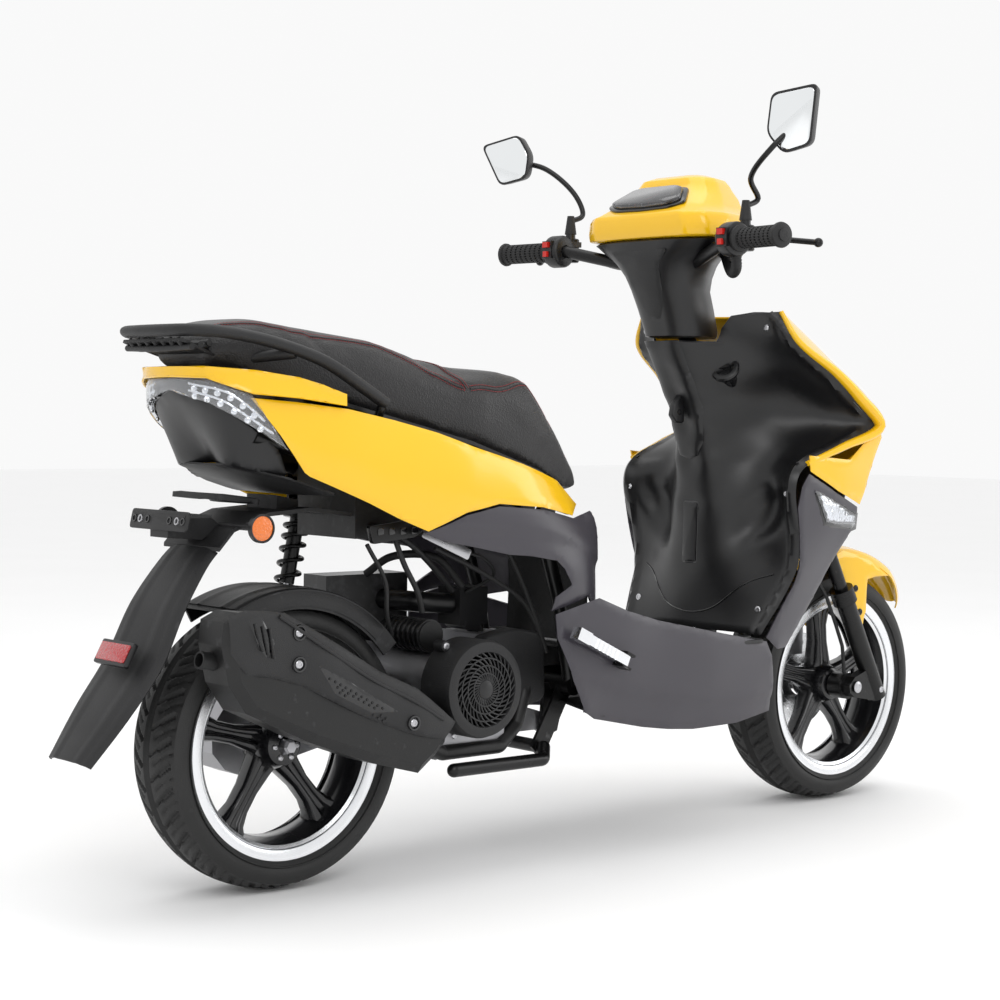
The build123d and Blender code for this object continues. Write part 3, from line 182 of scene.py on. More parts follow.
yellow = finish(
    "yellow_paint", (0.86, 0.49, 0.006), (0.90, 0.53, 0.008), 0.2, grain=("noise", 260, 0.012), tone=2.0,
    Coat_Weight=0.35, Coat_Roughness=0.08,
)
grey = finish(
    "grey_satin_plastic", (0.034, 0.031, 0.040), (0.042, 0.038, 0.048), 0.42, grain=("noise", 1400, 0.01),
    tone=3.0, Coat_Weight=0.15, Coat_Roughness=0.3,
)
black = finish(
    "black_plastic", (0.004, 0.004, 0.0045), (0.007, 0.007, 0.008), 0.36, grain=("noise", 1200, 0.02),
    wear=((0.05, 0.05, 0.055), 0.5),
)
gloss_black = finish(
    "black_gloss_plastic", (0.004, 0.004, 0.0045), (0.006, 0.006, 0.007), 0.16, grain=("noise", 500, 0.006),
    Coat_Weight=0.4, Coat_Roughness=0.08,
)
matt_black = finish(
    "black_grained_plastic", (0.006, 0.006, 0.0065), (0.010, 0.010, 0.011), 0.55, grain=("cells", 800, 0.08),
    wear=((0.07, 0.07, 0.075), 0.4),
)
metal_black = finish(
    "black_enamelled_steel", (0.005, 0.005, 0.005), (0.009, 0.009, 0.0095), 0.3, metallic=0.35,
    grain=("noise", 380, 0.03), wear=((0.12, 0.12, 0.12), 0.6),
)
exhaust_black = finish(
    "heatproof_black", (0.006, 0.006, 0.006), (0.010, 0.010, 0.0105), 0.44, metallic=0.2,
    grain=("noise", 700, 0.05), tone=14.0, wear=((0.09, 0.09, 0.095), 0.5),
)
steel = finish(
    "zinc_plated_steel", (0.42, 0.42, 0.44), (0.58, 0.58, 0.60), 0.3, metallic=1.0, grain=("noise", 300,
        0.03),
    tone=30.0,
)
cast = finish(
    "cast_aluminium", (0.30, 0.30, 0.31), (0.46, 0.46, 0.48), 0.46, metallic=1.0, grain=("noise", 650, 0.09),
    tone=22.0,
)
turned_alloy = finish(
    "machined_aluminium", (0.74, 0.75, 0.77), (0.86, 0.87, 0.89), 0.22, metallic=1.0,
    grain=("waves", 420, 0.006), tone=12.0,
)
alloy_black = finish(
    "black_painted_alloy", (0.005, 0.005, 0.006), (0.009, 0.009, 0.0105), 0.26, metallic=0.3,
    grain=("noise", 420, 0.02), Coat_Weight=0.5, Coat_Roughness=0.12,
)
tyre_rubber = finish(
    "tyre_rubber", (0.007, 0.007, 0.007), (0.012, 0.012, 0.012), 0.6, grain=("noise", 520, 0.10), tone=9.0,
    wear=((0.06, 0.06, 0.06), 0.5),
)
rubber = finish("soft_rubber", (0.006, 0.006, 0.0065), (0.011, 0.011, 0.0115), 0.62, grain=("cells", 1300,
    0.06))
vinyl = finish(
    "black_grained_vinyl", (0.006, 0.0055, 0.006), (0.010, 0.0095, 0.0105), 0.46, grain=("cells", 420, 0.16),
    tone=12.0, Sheen_Weight=0.12, Sheen_Roughness=0.5,
)
thread_red = finish("red_thread", (0.32, 0.014, 0.018), (0.5, 0.03, 0.035), 0.7, grain=("waves", 900, 0.1))
red_plastic = finish("red_plastic", (0.45, 0.01, 0.008), (0.58, 0.02, 0.012), 0.3, grain=("noise", 700, 0.01))
clear = finish(
    "clear_lens", (0.9, 0.92, 0.95), (0.97, 0.98, 1.0), 0.05, grain=("noise", 40, 0.01),
    Transmission_Weight=0.92, IOR=1.45,
)
smoke = finish(
    "smoked_lens", (0.10, 0.10, 0.11), (0.15, 0.15, 0.16), 0.04, grain=("noise", 40, 0.006),
    Transmission_Weight=0.75, IOR=1.45, Coat_Weight=0.6,
)
amber = finish(
    "amber_reflector", (0.85, 0.16, 0.01), (0.95, 0.24, 0.02), 0.18, grain=("cells", 260, 0.5),
    Transmission_Weight=0.15, Coat_Weight=0.8,
)
red_lens = finish(
    "red_reflector", (0.36, 0.008, 0.012), (0.52, 0.02, 0.025), 0.18, grain=("cells", 260, 0.5),
    Transmission_Weight=0.1, Coat_Weight=0.8,
)
silver = finish("bright_reflector", (0.82, 0.83, 0.85), (0.92, 0.93, 0.95), 0.14, metallic=1.0,
    grain=("cells", 160, 0.3))
mirror_glass = finish("mirror_glass", (0.83, 0.85, 0.86), (0.88, 0.9, 0.91), 0.015, metallic=1.0,
    grain=("noise", 5, 0.0001))
dial = finish("printed_dial", (0.004, 0.004, 0.005), (0.007, 0.007, 0.008), 0.4, grain=("noise", 900, 0.005))
white_ink = finish("white_print", (0.6, 0.6, 0.6), (0.75, 0.75, 0.75), 0.5, grain=("noise", 900, 0.005))

# ---- mesh helpers ----


def mesh_piece(name, points, faces, material, body, slot, sharp=32):
    """A piece from points in millimetres, riding on a body."""
    mesh = bpy.data.meshes.new(name)
    mesh.from_pydata([tuple(float(c) * MM for c in p) for p in points], [], faces)
    mesh.validate()
    piece = bpy.data.objects.new(name, mesh)
    bpy.context.scene.collection.objects.link(piece)
    mesh.materials.append(material)
    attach(piece, body)
    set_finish(piece, slot)
    soften(piece, sharp)
    return piece


def soften(piece, sharp=32):
    piece.data.shade_smooth()
    piece.data.set_sharp_from_angle(angle=math.radians(sharp))


def settled(piece, sharp=32):
    """The piece with its modifiers applied."""
    graph = bpy.context.evaluated_depsgraph_get()
    mesh = bpy.data.meshes.new_from_object(piece.evaluated_get(graph))
    piece.modifiers.clear()
    piece.data = mesh
    soften(piece, sharp)
    return piece


def thicken(piece, wall, sharp=32, offset=-1.0):
    solid = piece.modifiers.new("wall", "SOLIDIFY")
    solid.thickness = wall * MM
    solid.offset = offset
    return settled(piece, sharp)


def bevelled(piece, width, segments=2, sharp=32):
    bevel = piece.modifiers.new("bevel", "BEVEL")
    bevel.width = width * MM
    bevel.segments = segments
    bevel.limit_method = "ANGLE"
    bevel.angle_limit = math.radians(30)
    return settled(piece, sharp)


def twin(piece, name):
    """The same piece on the other side of the centre plane."""
    mesh = piece.data.copy()
    mesh.transform(Matrix.Diagonal((1, -1, 1, 1)))
    mesh.flip_normals()
    other = bpy.data.objects.new(name, mesh)
    bpy.context.scene.collection.objects.link(other)
    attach(other, piece["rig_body"])
    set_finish(other, piece["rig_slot"])
    soften(other)
    return other


def spline(points, count):
    """Evenly spaced points on a smooth curve through the given ones."""
    p = np.array([tuple(q) for q in points], float)
    if len(p) == 2:
        return p[0] + (p[1] - p[0]) * np.linspace(0, 1, count)[:, None]
    p = np.vstack([2 * p[0] - p[1], p, 2 * p[-1] - p[-2]])
    knots = np.concatenate([[0], np.cumsum(np.sqrt(np.linalg.norm(np.diff(p, axis=0), axis=1)) + 1e-9)])
    fine = []
    for i in range(1, len(p) - 2):
        t = np.linspace(knots[i], knots[i + 1], 24)[:, None]
        a = [p[k] * (knots[k + 1] - t) / (knots[k + 1] - knots[k]) + p[k + 1] * (t - knots[k]) / (
            knots[k + 1] - knots[k]) for k in (i - 1, i, i + 1)]
        b = [a[k] * (knots[i + k + 1] - t) / (knots[i + k + 1] - knots[i + k - 1]) + a[k + 1] * (
            t - knots[i + k - 1]) / (knots[i + k + 1] - knots[i + k - 1]) for k in (0, 1)]
        fine.append(b[0] * (knots[i + 1] - t) / (knots[i + 1] - knots[i]) + b[1] * (t - knots[i]) / (
            knots[i + 1] - knots[i]))
    fine = np.vstack(fine)
    run = np.concatenate([[0], np.cumsum(np.linalg.norm(np.diff(fine, axis=0), axis=1))])
    return np.stack([np.interp(np.linspace(0, run[-1], count), run, fine[:,
        k]) for k in range(p.shape[1])], 1)


def rounded(outline, radius, steps=4):
    """A closed flat outline with its corners turned by arcs."""
    made = []
    count = len(outline)
    for i, corner in enumerate(outline):
        here = Vector(corner)
        before = Vector(outline[i - 1]) - here
        after = Vector(outline[(i + 1) % count]) - here
        reach = min(radius, before.length * 0.45, after.length * 0.45)
        a, b = here + before.normalized() * reach, here + after.normalized() * reach
        for k in range(steps + 1):
            t = k / steps
            made.append(tuple(a * (1 - t) ** 2 + here * 2 * t * (1 - t) + b * t * t))
    return made


def through(points):
    """A smooth height over a plane, through (a, b, height) points."""
    p = np.array(points, float)
    count = len(p)

    def basis(a, b):
        square = ((a[:, None] - p[:, 0]) ** 2 + (b[:, None] - p[:, 1]) ** 2) * 1e-4
        return square * np.log(square + 1e-9)

    def plane(a, b):
        return np.stack([np.ones_like(a), a * 0.01, b * 0.01], 1)

    system = np.zeros((count + 3, count + 3))
    system[:count, :count] = basis(p[:, 0], p[:, 1])
    system[:count, count:] = plane(p[:, 0], p[:, 1])
    system[count:, :count] = system[:count, count:].T
    weights = np.linalg.solve(system, np.concatenate([p[:, 2], np.zeros(3)]))

    def height(a, b):
        a = np.atleast_1d(np.asarray(a, float))
        b = np.atleast_1d(np.asarray(b, float))
        return basis(a, b) @ weights[:count] + plane(a, b) @ weights[count:]

    return height


def edge_distance(flat, outline):
    ring = np.array(outline, float)
    ends = np.roll(ring, -1, axis=0)
    along = ends - ring
    gap = flat[:, None, :] - ring[None]
    share = np.clip((gap * along).sum(2) / ((along ** 2).sum(1) + 1e-9), 0, 1)
    return np.linalg.norm(gap - along * share[..., None], axis=2).min(1)


def skin(name, outline, shape, wall, material, body, slot, cell=9.0, lip=2.2, toward=None, drop=None):
    """A panel: a sheet cut to a flat outline, carried into space by shape(a, b), its edge
    rolled in by lip and its back thickened away from the point it faces."""
    bm = bmesh.new()
    bm.faces.new([bm.verts.new((a, b, 0)) for a, b in outline])
    for inset in (lip * 0.3, lip * 0.7):
        inner = [f for f in bm.faces if len(f.verts) > 4]
        bmesh.ops.inset_region(bm, faces=inner, thickness=inset, use_even_offset=True)
    bmesh.ops.triangulate(bm, faces=bm.faces[:])
    ring = np.array(outline, float)
    low, high = ring.min(0), ring.max(0)
    for axis in (0, 1):
        cuts = max(int((high[axis] - low[axis]) / cell), 1)
        for i in range(1, cuts + 1):
            at = [0.0, 0.0, 0.0]
            normal = [0.0, 0.0, 0.0]
            at[axis] = low[axis] + (high[axis] - low[axis]) * i / (cuts + 1)
            normal[axis] = 1.0
            bmesh.ops.bisect_plane(bm, geom=bm.verts[:] + bm.edges[:] + bm.faces[:], plane_co=at,
                plane_no=normal, dist=0.01)
    bmesh.ops.remove_doubles(bm, verts=bm.verts[:], dist=0.05)
    bm.verts.ensure_lookup_table()
    flat = np.array([v.co[:2] for v in bm.verts], float)
    faces = [[v.index for v in f.verts] for f in bm.faces]
    bm.verts.index_update()
    faces = [[v.index for v in f.verts] for f in bm.faces]
    bm.free()
    space = shape(flat[:, 0], flat[:, 1])
    piece = mesh_piece(name, space, faces, material, body, slot, 60)
    facing = Vector(toward if toward is not None else (0, 0, 0)) * MM
    mesh = piece.data
    out = sum(((facing - f.center).dot(f.normal) * f.area for f in mesh.polygons))
    if out < 0:
        mesh.flip_normals()
    mesh.update()
    normals = np.array([v.normal for v in mesh.vertices])
    inside = np.clip(edge_distance(flat, outline), 0, lip)
    rolled = (lip - np.sqrt(np.maximum(lip ** 2 - (lip - inside) ** 2, 0))) * 0.8
    if drop is not None:
        rolled = rolled + drop(flat[:, 0], flat[:, 1])
    moved = space - normals[: len(space)] * rolled[:, None]
    for vertex, place in zip(mesh.vertices, moved):
        vertex.co = place * MM
    mesh.update()
    return thicken(piece, wall, 50)


def grid_piece(name, rows, material, body, slot, closed=True, capped=True, sharp=32):
    """A surface through rows of points. Closed rows join end to end; capped ends are filled."""
    rows = [list(r) for r in rows]
    count = len(rows[0])
    points = [p for row in rows for p in row]
    faces = []
    for i in range(len(rows) - 1):
        for j in range(count if closed else count - 1):
            k = (j + 1) % count
            faces.append((i * count + j, i * count + k, (i + 1) * count + k, (i + 1) * count + j))
    if capped:
        faces.append(tuple(range(count))[::-1])
        faces.append(tuple((len(rows) - 1) * count + j for j in range(count)))
    piece = mesh_piece(name, points, faces, material, body, slot, sharp)
    bm = bmesh.new()
    bm.from_mesh(piece.data)
    bmesh.ops.recalc_face_normals(bm, faces=bm.faces[:])
    bm.to_mesh(piece.data)
    bm.free()
    soften(piece, sharp)
    return piece


def lathe(name, profile, centre, material, body, slot, axis=(0, 1, 0), steps=96, sharp=32):
    """A closed profile of (along the axis, radius) points turned about an axis."""
    turn = Vector((0, 1, 0)).rotation_difference(Vector(axis)).to_matrix()
    rows = []
    for i in range(steps):
        angle = 2 * math.pi * i / steps
        rows.append([
            Vector(centre) + turn @ Vector((r * math.cos(angle), a, r * math.sin(angle))) for a, r in profile
        ])
    rows.append(rows[0])
    piece = grid_piece(name, rows, material, body, slot, True, False, sharp)
    bm = bmesh.new()
    bm.from_mesh(piece.data)
    bmesh.ops.remove_doubles(bm, verts=bm.verts[:], dist=1e-6)
    bmesh.ops.recalc_face_normals(bm, faces=bm.faces[:])
    bm.to_mesh(piece.data)
    bm.free()
    soften(piece, sharp)
    return piece


def tube(name, points, radius, material, body, slot, sides=16, count=None, sharp=40, flat=1.0):
    """A round bar along a smooth line; radius may be a list that tapers along it."""
    line = spline(points, count or max(8, len(points) * 8))
    radii = spline([(r, 0) for r in radius], len(line))[:, 0] if isinstance(radius, (list,
        tuple)) else [radius] * len(line)
    rows = []
    normal = None
    for i, place in enumerate(line):
        ahead = Vector(line[min(i + 1, len(line) - 1)]) - Vector(line[max(i - 1, 0)])
        ahead.normalize()
        if normal is None:
            normal = ahead.orthogonal().normalized() if abs(ahead.z) > 0.9 else Vector((0, 0, 1))
        normal = (normal - ahead * normal.dot(ahead)).normalized()
        across = ahead.cross(normal)
        rows.append([
            Vector(place) + (across * math.cos(a) + normal * math.sin(a) * flat) * float(radii[i])
            for a in (2 * math.pi * k / sides for k in range(sides))
        ])
    return grid_piece(name, rows, material, body, slot, True, True, sharp)


def prism(name, outline, low, high, material, body, slot, bevel=1.5, axis="y", sharp=32):
    """A side-view (x, z), plan (x, y) or front-view (y, z) outline pushed from low to high."""
    put = {"y": lambda a, b, c: (a, c, b), "z": lambda a, b, c: (a, b, c), "x": lambda a, b, c: (c, a,
        b)}[axis]
    rows = [[put(a, b, c) for a, b in outline] for c in (low, high)]
    piece = grid_piece(name, rows, material, body, slot, True, True, sharp)
    return bevelled(piece, bevel, 3, sharp) if bevel else piece


def block(name, low, high, material, body, slot, bevel=1.5):
    outline = [(low[0], low[2]), (high[0], low[2]), (high[0], high[2]), (low[0], high[2])]
    return prism(name, outline, low[1], high[1], material, body, slot, bevel)


def joined(pieces, name):
    """Several pieces made one, on the first one's body."""
    bpy.ops.object.select_all(action="DESELECT")
    for piece in pieces:
        piece.select_set(True)
    bpy.context.view_layer.objects.active = pieces[0]
    bpy.ops.object.join()
    pieces[0].name = name
    return pieces[0]


def screw(place, facing, body, radius=6.0, material=None, name="screw"):
    """A pan-head screw, seated where it stands and facing outward."""
    way = Vector(facing).normalized()
    head = [(0.0, 0.0), (0.0, radius), (1.4, radius), (2.6, radius * 0.8), (3.0, radius * 0.45), (2.2,
        radius * 0.4), (2.0, 0.0)]
    made = lathe(name, head, place, material or steel, body, "steel", tuple(way), 20)
    return made


def repaint(node, material):
    """A CAD node with another finish and softly rounded shading."""
    obj = nodes[node]
    obj.data.materials.clear()
    obj.data.materials.append(material)
    obj.data.shade_smooth()
    obj.data.set_sharp_from_angle(angle=math.radians(28))
    return obj
# ---- body surfaces, right side; half widths are positive and the left side is a twin ----
rear_side = through([
    (-708, 753, 128), (-638, 748, 143), (-467, 722, 160), (-316, 682, 170), (-118, 628, 143), (-54, 586, 124),
    (-660, 700, 145), (-560, 672, 163), (-450, 640, 175), (-340, 635, 182), (-200, 610, 175),
    (-625, 642, 146), (-515, 596, 160), (-406, 551, 168), (-339, 577, 179), (-273, 591, 181), (-175, 584,
        176),
    (-88, 568, 152), (-12, 575, 112), (16, 490, 104), (10, 424, 112), (-30, 414, 150), (-158, 417, 184),
    (-114, 459, 186), (-150, 500, 188), (-249, 512, 182), (-60, 500, 166),
])
floor_side = through([
    (-158, 414, 190), (-158, 376, 195), (-92, 250, 196), (-66, 236, 190), (49, 212, 186), (175, 197, 184),
    (287, 198, 181), (384, 211, 172), (368, 313, 186), (356, 339, 184), (73, 392, 196), (-62, 436, 190),
    (0, 330, 204), (200, 290, 203), (120, 250, 197), (320, 260, 190),
])
wing_side = through([
    (392, 322, 176), (357, 345, 182), (411, 470, 209), (392, 575, 219), (415, 648, 222), (612, 648, 206),
    (596, 575, 198), (520, 470, 188), (438, 345, 172), (424, 322, 168), (480, 560, 216), (606, 730, 234),
])
shield_face = through([
    (y * s, z, x) for z, half in (
        (349, ((0, 343), (60, 343), (120, 347), (170, 351))),
        (470, ((0, 345), (45, 349), (100, 372), (150, 398), (205, 405))),
        (575, ((0, 348), (45, 352), (88, 385), (140, 404), (215, 388))),
        (655, ((0, 343), (44, 348), (80, 396), (130, 428), (218, 412))),
        (720, ((0, 335), (43, 340), (70, 392), (120, 446), (180, 520), (236, 594))),
        (774, ((0, 313), (43, 318), (64, 360), (110, 428), (180, 496), (230, 536))),
        (815, ((0, 287), (44, 295), (84, 360), (150, 430), (222, 486))),
        (869, ((0, 258), (46, 266), (88, 336), (150, 388), (200, 404))),
        (925, ((0, 244), (50, 254), (112, 314), (172, 386))),
    ) for y, x in half for s in ((1, -1) if y else (1,))
])
cowl_face = through([
    (y * s, z, x) for z, half in (
        (650, ((0, 668), (90, 652), (150, 628), (190, 596), (217, 520))),
        (720, ((0, 701), (100, 686), (170, 660), (215, 622), (234, 600))),
        (774, ((0, 683), (90, 669), (150, 645), (200, 598), (228, 544))),
        (815, ((0, 651), (80, 637), (140, 605), (190, 545), (220, 494))),
        (869, ((0, 591), (70, 577), (120, 545), (170, 470), (198, 410))),
        (926, ((0, 499), (60, 488), (115, 452), (168, 392))),
    ) for y, x in half for s in ((1, -1) if y else (1,))
])


def side_of(surface, side, out=0.0):
    return lambda x, z: np.stack([x, side * (surface(x, z) + out), z], 1)


def face_of(surface, out=0.0):
    return lambda y, z: np.stack([surface(y, z) + out, y, z], 1)


def both(name, outline, surface, wall, material, body, slot, out=0.0, **options):
    """A side panel and its twin."""
    right = skin(
        name + "_right", outline, side_of(surface, RIGHT, out), wall, material, body, slot,
        toward=(-100, -3000, 500), **options,
    )
    return [right, twin(right, name + "_left")]


# yellow side panels with a raised shoulder line
panel_outline = [
    (-708, 752), (-638, 747), (-552, 738), (-467, 722), (-390, 704), (-316, 682), (-210, 655), (-118, 628),
    (-54, 587), (-88, 570), (-175, 586), (-273, 593), (-339, 580), (-372, 566), (-406, 552), (-460, 572),
    (-515, 597), (-615, 637), (-624, 643),
]
panels = both("side_panel", panel_outline, rear_side, 3, yellow, "chassis", "paint_yellow", cell=11)
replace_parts(panels[0], "side_panels")

# grey lower panels under them, with a fold that runs down to the floor
base_outline = [
    (-410, 548), (-372, 562), (-338, 576), (-273, 589), (-175, 582), (-88, 566), (-40, 571), (-12, 575),
    (6, 560), (13, 525), (16, 490), (10, 424), (-30, 414), (-60, 438), (-158, 417), (-150, 440), (-114, 459),
    (-132, 486), (-150, 500), (-200, 508), (-249, 512), (-310, 524), (-373, 535),
]


def fold(x, z):
    """Depth of the panel below its shoulder."""
    line = np.interp(x, [-410, -250, -150, -60, 20], [560, 556, 544, 520, 488])
    return np.clip((line - z) / 12, 0, 1) * 5


base = both("seat_base_panel", base_outline, rear_side, 3, grey, "chassis", "panel_grey", drop=fold)
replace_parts(base[0], "seat_base_panels")
post_face = through([(0, 345, 12), (0, 550, 14), (60, 345, 6), (60, 550, 8), (-60, 345, 6), (-60, 550, 8),
                     (100, 345, -8), (100, 550, -6), (-100, 345, -8), (-100, 550, -6)])
post_outline = rounded([(-100, 348), (100, 348), (102, 480), (92, 551), (-92, 551), (-102, 480)], 10)
skin("battery_hatch_surround", post_outline, face_of(post_face), 3, matt_black, "chassis", "black_plastic",
     toward=(2000, 0, 450), cell=14)
hatch = rounded([(-70, 380), (70, 380), (64, 520), (-64, 520)], 10)
skin("battery_hatch", hatch, face_of(post_face, 2.0), 2, black, "chassis", "black_plastic", toward=(2000,
    0, 450), cell=14)

# floor skirts, with a long fold and a lower lip
skirt_outline = [
    (-158, 414), (-158, 376), (-130, 318), (-92, 250), (-66, 236), (49, 212), (110, 203), (175, 197),
    (287, 198), (384, 211), (378, 262), (368, 313), (356, 339), (280, 352), (180, 371), (73, 392),
    (0, 412), (-62, 436),
]


def skirt_fold(x, z):
    line = np.interp(x, [-158, 0, 200, 384], [330, 282, 250, 246])
    return np.clip((line - z) / 14, 0, 1) * 4


skirts = both("floor_skirt", skirt_outline, floor_side, 3, grey, "chassis", "panel_grey", drop=skirt_fold)
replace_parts(skirts[0], "side_skirts")
under = [(-60, -186), (300, -176), (384, -166), (384, 166), (300, 176), (-60, 186)]
belly = through([(-60, 0, 262), (300, 0, 214), (384, 0, 222), (-60, 186, 240), (-60, -186, 240),
                 (200, 184, 205), (200, -184, 205), (384, 166, 214), (384, -166, 214)])
skin("belly_pan", under, lambda x, y: np.stack([x, y, belly(x, y)], 1), 3, matt_black, "chassis",
    "black_plastic",
     toward=(150, 0, -3000), cell=24)

# footboard: a grained mat with raised ribs between two plain kerbs
floor_top = high_of("floorboard").z
mat_low, mat_high = low_of("floorboard"), high_of("floorboard")
board = rounded([(mat_low.x + 2, -194), (mat_high.x - 1, -194), (mat_high.x - 1, 194), (mat_low.x + 2,
    194)], 14)
mat = prism("foot_mat", board, floor_top - 9, floor_top - 2, matt_black, "chassis", "black_plastic", 2.0, "z")
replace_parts(mat, "floorboard")
ribs = []
for line in range(-5, 6):
    reach = 26 if abs(line) == 5 else 0
    rib = rounded([(mat_low.x + 60 + reach, line * 24 - 4), (mat_high.x - 46 - reach, line * 24 - 4),
                   (mat_high.x - 46 - reach, line * 24 + 4), (mat_low.x + 60 + reach, line * 24 + 4)], 3.9)
    ribs.append(prism(f"mat_rib_{line + 5}", rib, floor_top - 3, floor_top + 0.4, rubber, "chassis",
        "rubber", 0.8, "z"))
joined(ribs, "mat_ribs")
kerb_points = [(mat_low.x + 10, 186, floor_top + 2), (120, 188, floor_top + 1), (mat_high.x - 30, 178,
    floor_top + 2)]
for side, word in ((RIGHT, "right"), (LEFT, "left")):
    tube("floor_kerb_" + word, [(x, side * y, z) for x, y, z in kerb_points], 7, black, "chassis",
        "black_plastic",
         count=20, flat=0.5)

# front side panels in grey, the indicator in its bezel, and the yellow wing tips
wing_outline = [
    (392, 322), (357, 345), (384, 400), (405, 440), (411, 470), (402, 520), (392, 575), (400, 612), (418,
        636),
    (500, 600), (575, 574), (584, 548), (560, 520), (520, 470), (480, 410), (438, 345), (424, 322),
]
both("front_side_panel", wing_outline, wing_side, 3, grey, "chassis", "panel_grey", out=0.5)
tip_outline = [
    (418, 640), (412, 668), (470, 664), (526, 660), (560, 690), (600, 716), (612, 700), (606, 650), (592,
        600),
    (580, 578), (500, 604),
]
both("wing_tip", tip_outline, wing_side, 3, yellow, "chassis", "paint_yellow", out=3.0)
lens_outline = [(432, 606), (572, 558), (576, 540), (560, 534), (468, 549)]
both("indicator_bezel", [(424, 612), (580, 562), (584, 532), (560, 527), (462, 542)], wing_side, 2,
              gloss_black, "chassis", "black_plastic", out=1.6, cell=14)
both("indicator_lens", lens_outline, wing_side, 2, clear, "chassis", "clear_lens", out=4.4, cell=14)
both("indicator_reflector", [(440, 602), (568, 557), (570, 542), (472, 552)], wing_side, 1,
                      silver, "chassis", "clear_lens", out=2.2, cell=8)

# black inner leg shield: edge, centre column, pockets
shield_outline = [
    (-170, 350), (-186, 400), (-205, 470), (-214, 540), (-216, 590), (-219, 652), (-224, 680), (-234, 722),
    (-231, 774), (-222, 815), (-213, 845), (-200, 871), (-187, 900), (-172, 922), (-140, 920), (-112, 912),
    (-92, 890), (-80, 868), (80, 868), (92, 890), (112, 912), (140, 920), (172, 922), (187, 900), (200, 871),
    (213, 845), (222, 815), (231, 774), (234, 722), (224, 680), (219, 652), (216, 590), (214, 540),
    (205, 470), (186, 400), (170, 350),
]


def pockets(y, z):
    """Knee pockets, the drawn-in side pockets and a raised rim just inside the outer edge."""
    width = np.abs(y)
    knee = np.exp(-(((width - 132) / 46) ** 2 + ((z - 752) / 52) ** 2) ** 1.6) * 16
    low = np.exp(-(((width - 128) / 44) ** 2 + ((z - 560 - (width - 128) * 0.7) / 44) ** 2) ** 1.6) * 20
    rim = -6 * np.exp(-((width - np.interp(z, [350, 470, 590, 652, 722, 815, 871, 922],
                                           [160, 192, 203, 205, 216, 204, 184, 158])) / 6) ** 2)
    return knee + low + rim


shield = skin(
    "leg_shield_inner", shield_outline, face_of(shield_face), 3, black, "chassis", "black_plastic",
    toward=(-3000, 0, 700), cell=7, lip=4, drop=pockets,
)
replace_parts(shield, "leg_shield")
lower_seam = [(-160, 455), (-120, 440), (-60, 392), (-20, 380), (20, 380), (60, 392), (120, 440), (160, 455)]


def on_face(y, z, out=0.0):
    return Vector((float(shield_face(y, z)[0]) - out, y, z))


def against_shield(y, z, out=0.0):
    """A point on the moulded face of the leg shield, pockets included."""
    return Vector((float(shield_face(y, z)[0] + pockets(np.array([y]), np.array([z]))[0]) - out, y, z))


seam = spline(lower_seam, 60)
tube("lower_panel_seam", [against_shield(y, z, 0.2) for y, z in seam], 1.6, gloss_black, "chassis",
    "black_plastic",
     8, 90)
cover = rounded([(-16, 470), (16, 470), (16, 578), (-16, 578)], 4)
skin("column_cover", cover, face_of(shield_face, -3.4), 2, black, "chassis", "black_plastic",
    toward=(-3000, 0, 500),
     cell=12)
ring = rounded([(-18.5, 467.5), (18.5, 467.5), (18.5, 580.5), (-18.5, 580.5)], 5)
skin("column_cover_gap", ring, face_of(shield_face, -0.8), 1, gloss_black, "chassis", "black_plastic",
     toward=(-3000, 0, 500), cell=12, lip=0.8)
scroll = [(-44, 868), (-44, 800), (-42, 740), (-36, 690), (-22, 664), (0, 656), (22, 664), (36, 690), (42,
    740),
          (44, 800), (44, 868)]
skin("column_apron", scroll, face_of(shield_face, -4.0), 3, black, "chassis", "black_plastic",
    toward=(-3000, 0, 700),
     cell=9, lip=3.4)
for side, word in ((RIGHT, "right"), (LEFT, "left")):
    for number, (y, z, size) in enumerate([(150, 392, 6.5), (150, 894, 6.0), (196, 600, 5.0)]):
        screw(against_shield(side * y, z, -0.5), (-1, 0, 0), "chassis", size, steel,
            f"shield_screw_{word}_{number}")
# hook for a bag on the column
hook_root = on_face(0, 748, 3)
hook = [(0, 22), (-10, 26), (-26, 8), (-30, -12), (-20, -24), (-6, -26), (0, -24)]
prism("bag_hook", [(hook_root.x + x, hook_root.z + z) for x, z in hook], -7, 7, black, "chassis",
    "black_plastic", 3)
lathe("bag_hook_eye", [(-7.6, 2.5), (-7.6, 5), (7.6, 5), (7.6, 2.5)], hook_root + Vector((-14, 0, -6)),
    gloss_black,
      "chassis", "black_plastic", steps=24)
# the ring round the lock, and the lock's own face
lock_middle = middle("ignition_lock")
lock_way = Vector((-0.75, -0.35, 0.56)).normalized()
lock_top = lock_middle + lock_way * 22
lathe("lock_surround", [(-9, 17.6), (-9, 25), (-3, 26.5), (1, 25), (3, 21), (3, 17.6)], lock_top, black,
    "chassis",
      "black_plastic", tuple(lock_way), 48)
repaint("ignition_lock", gloss_black)

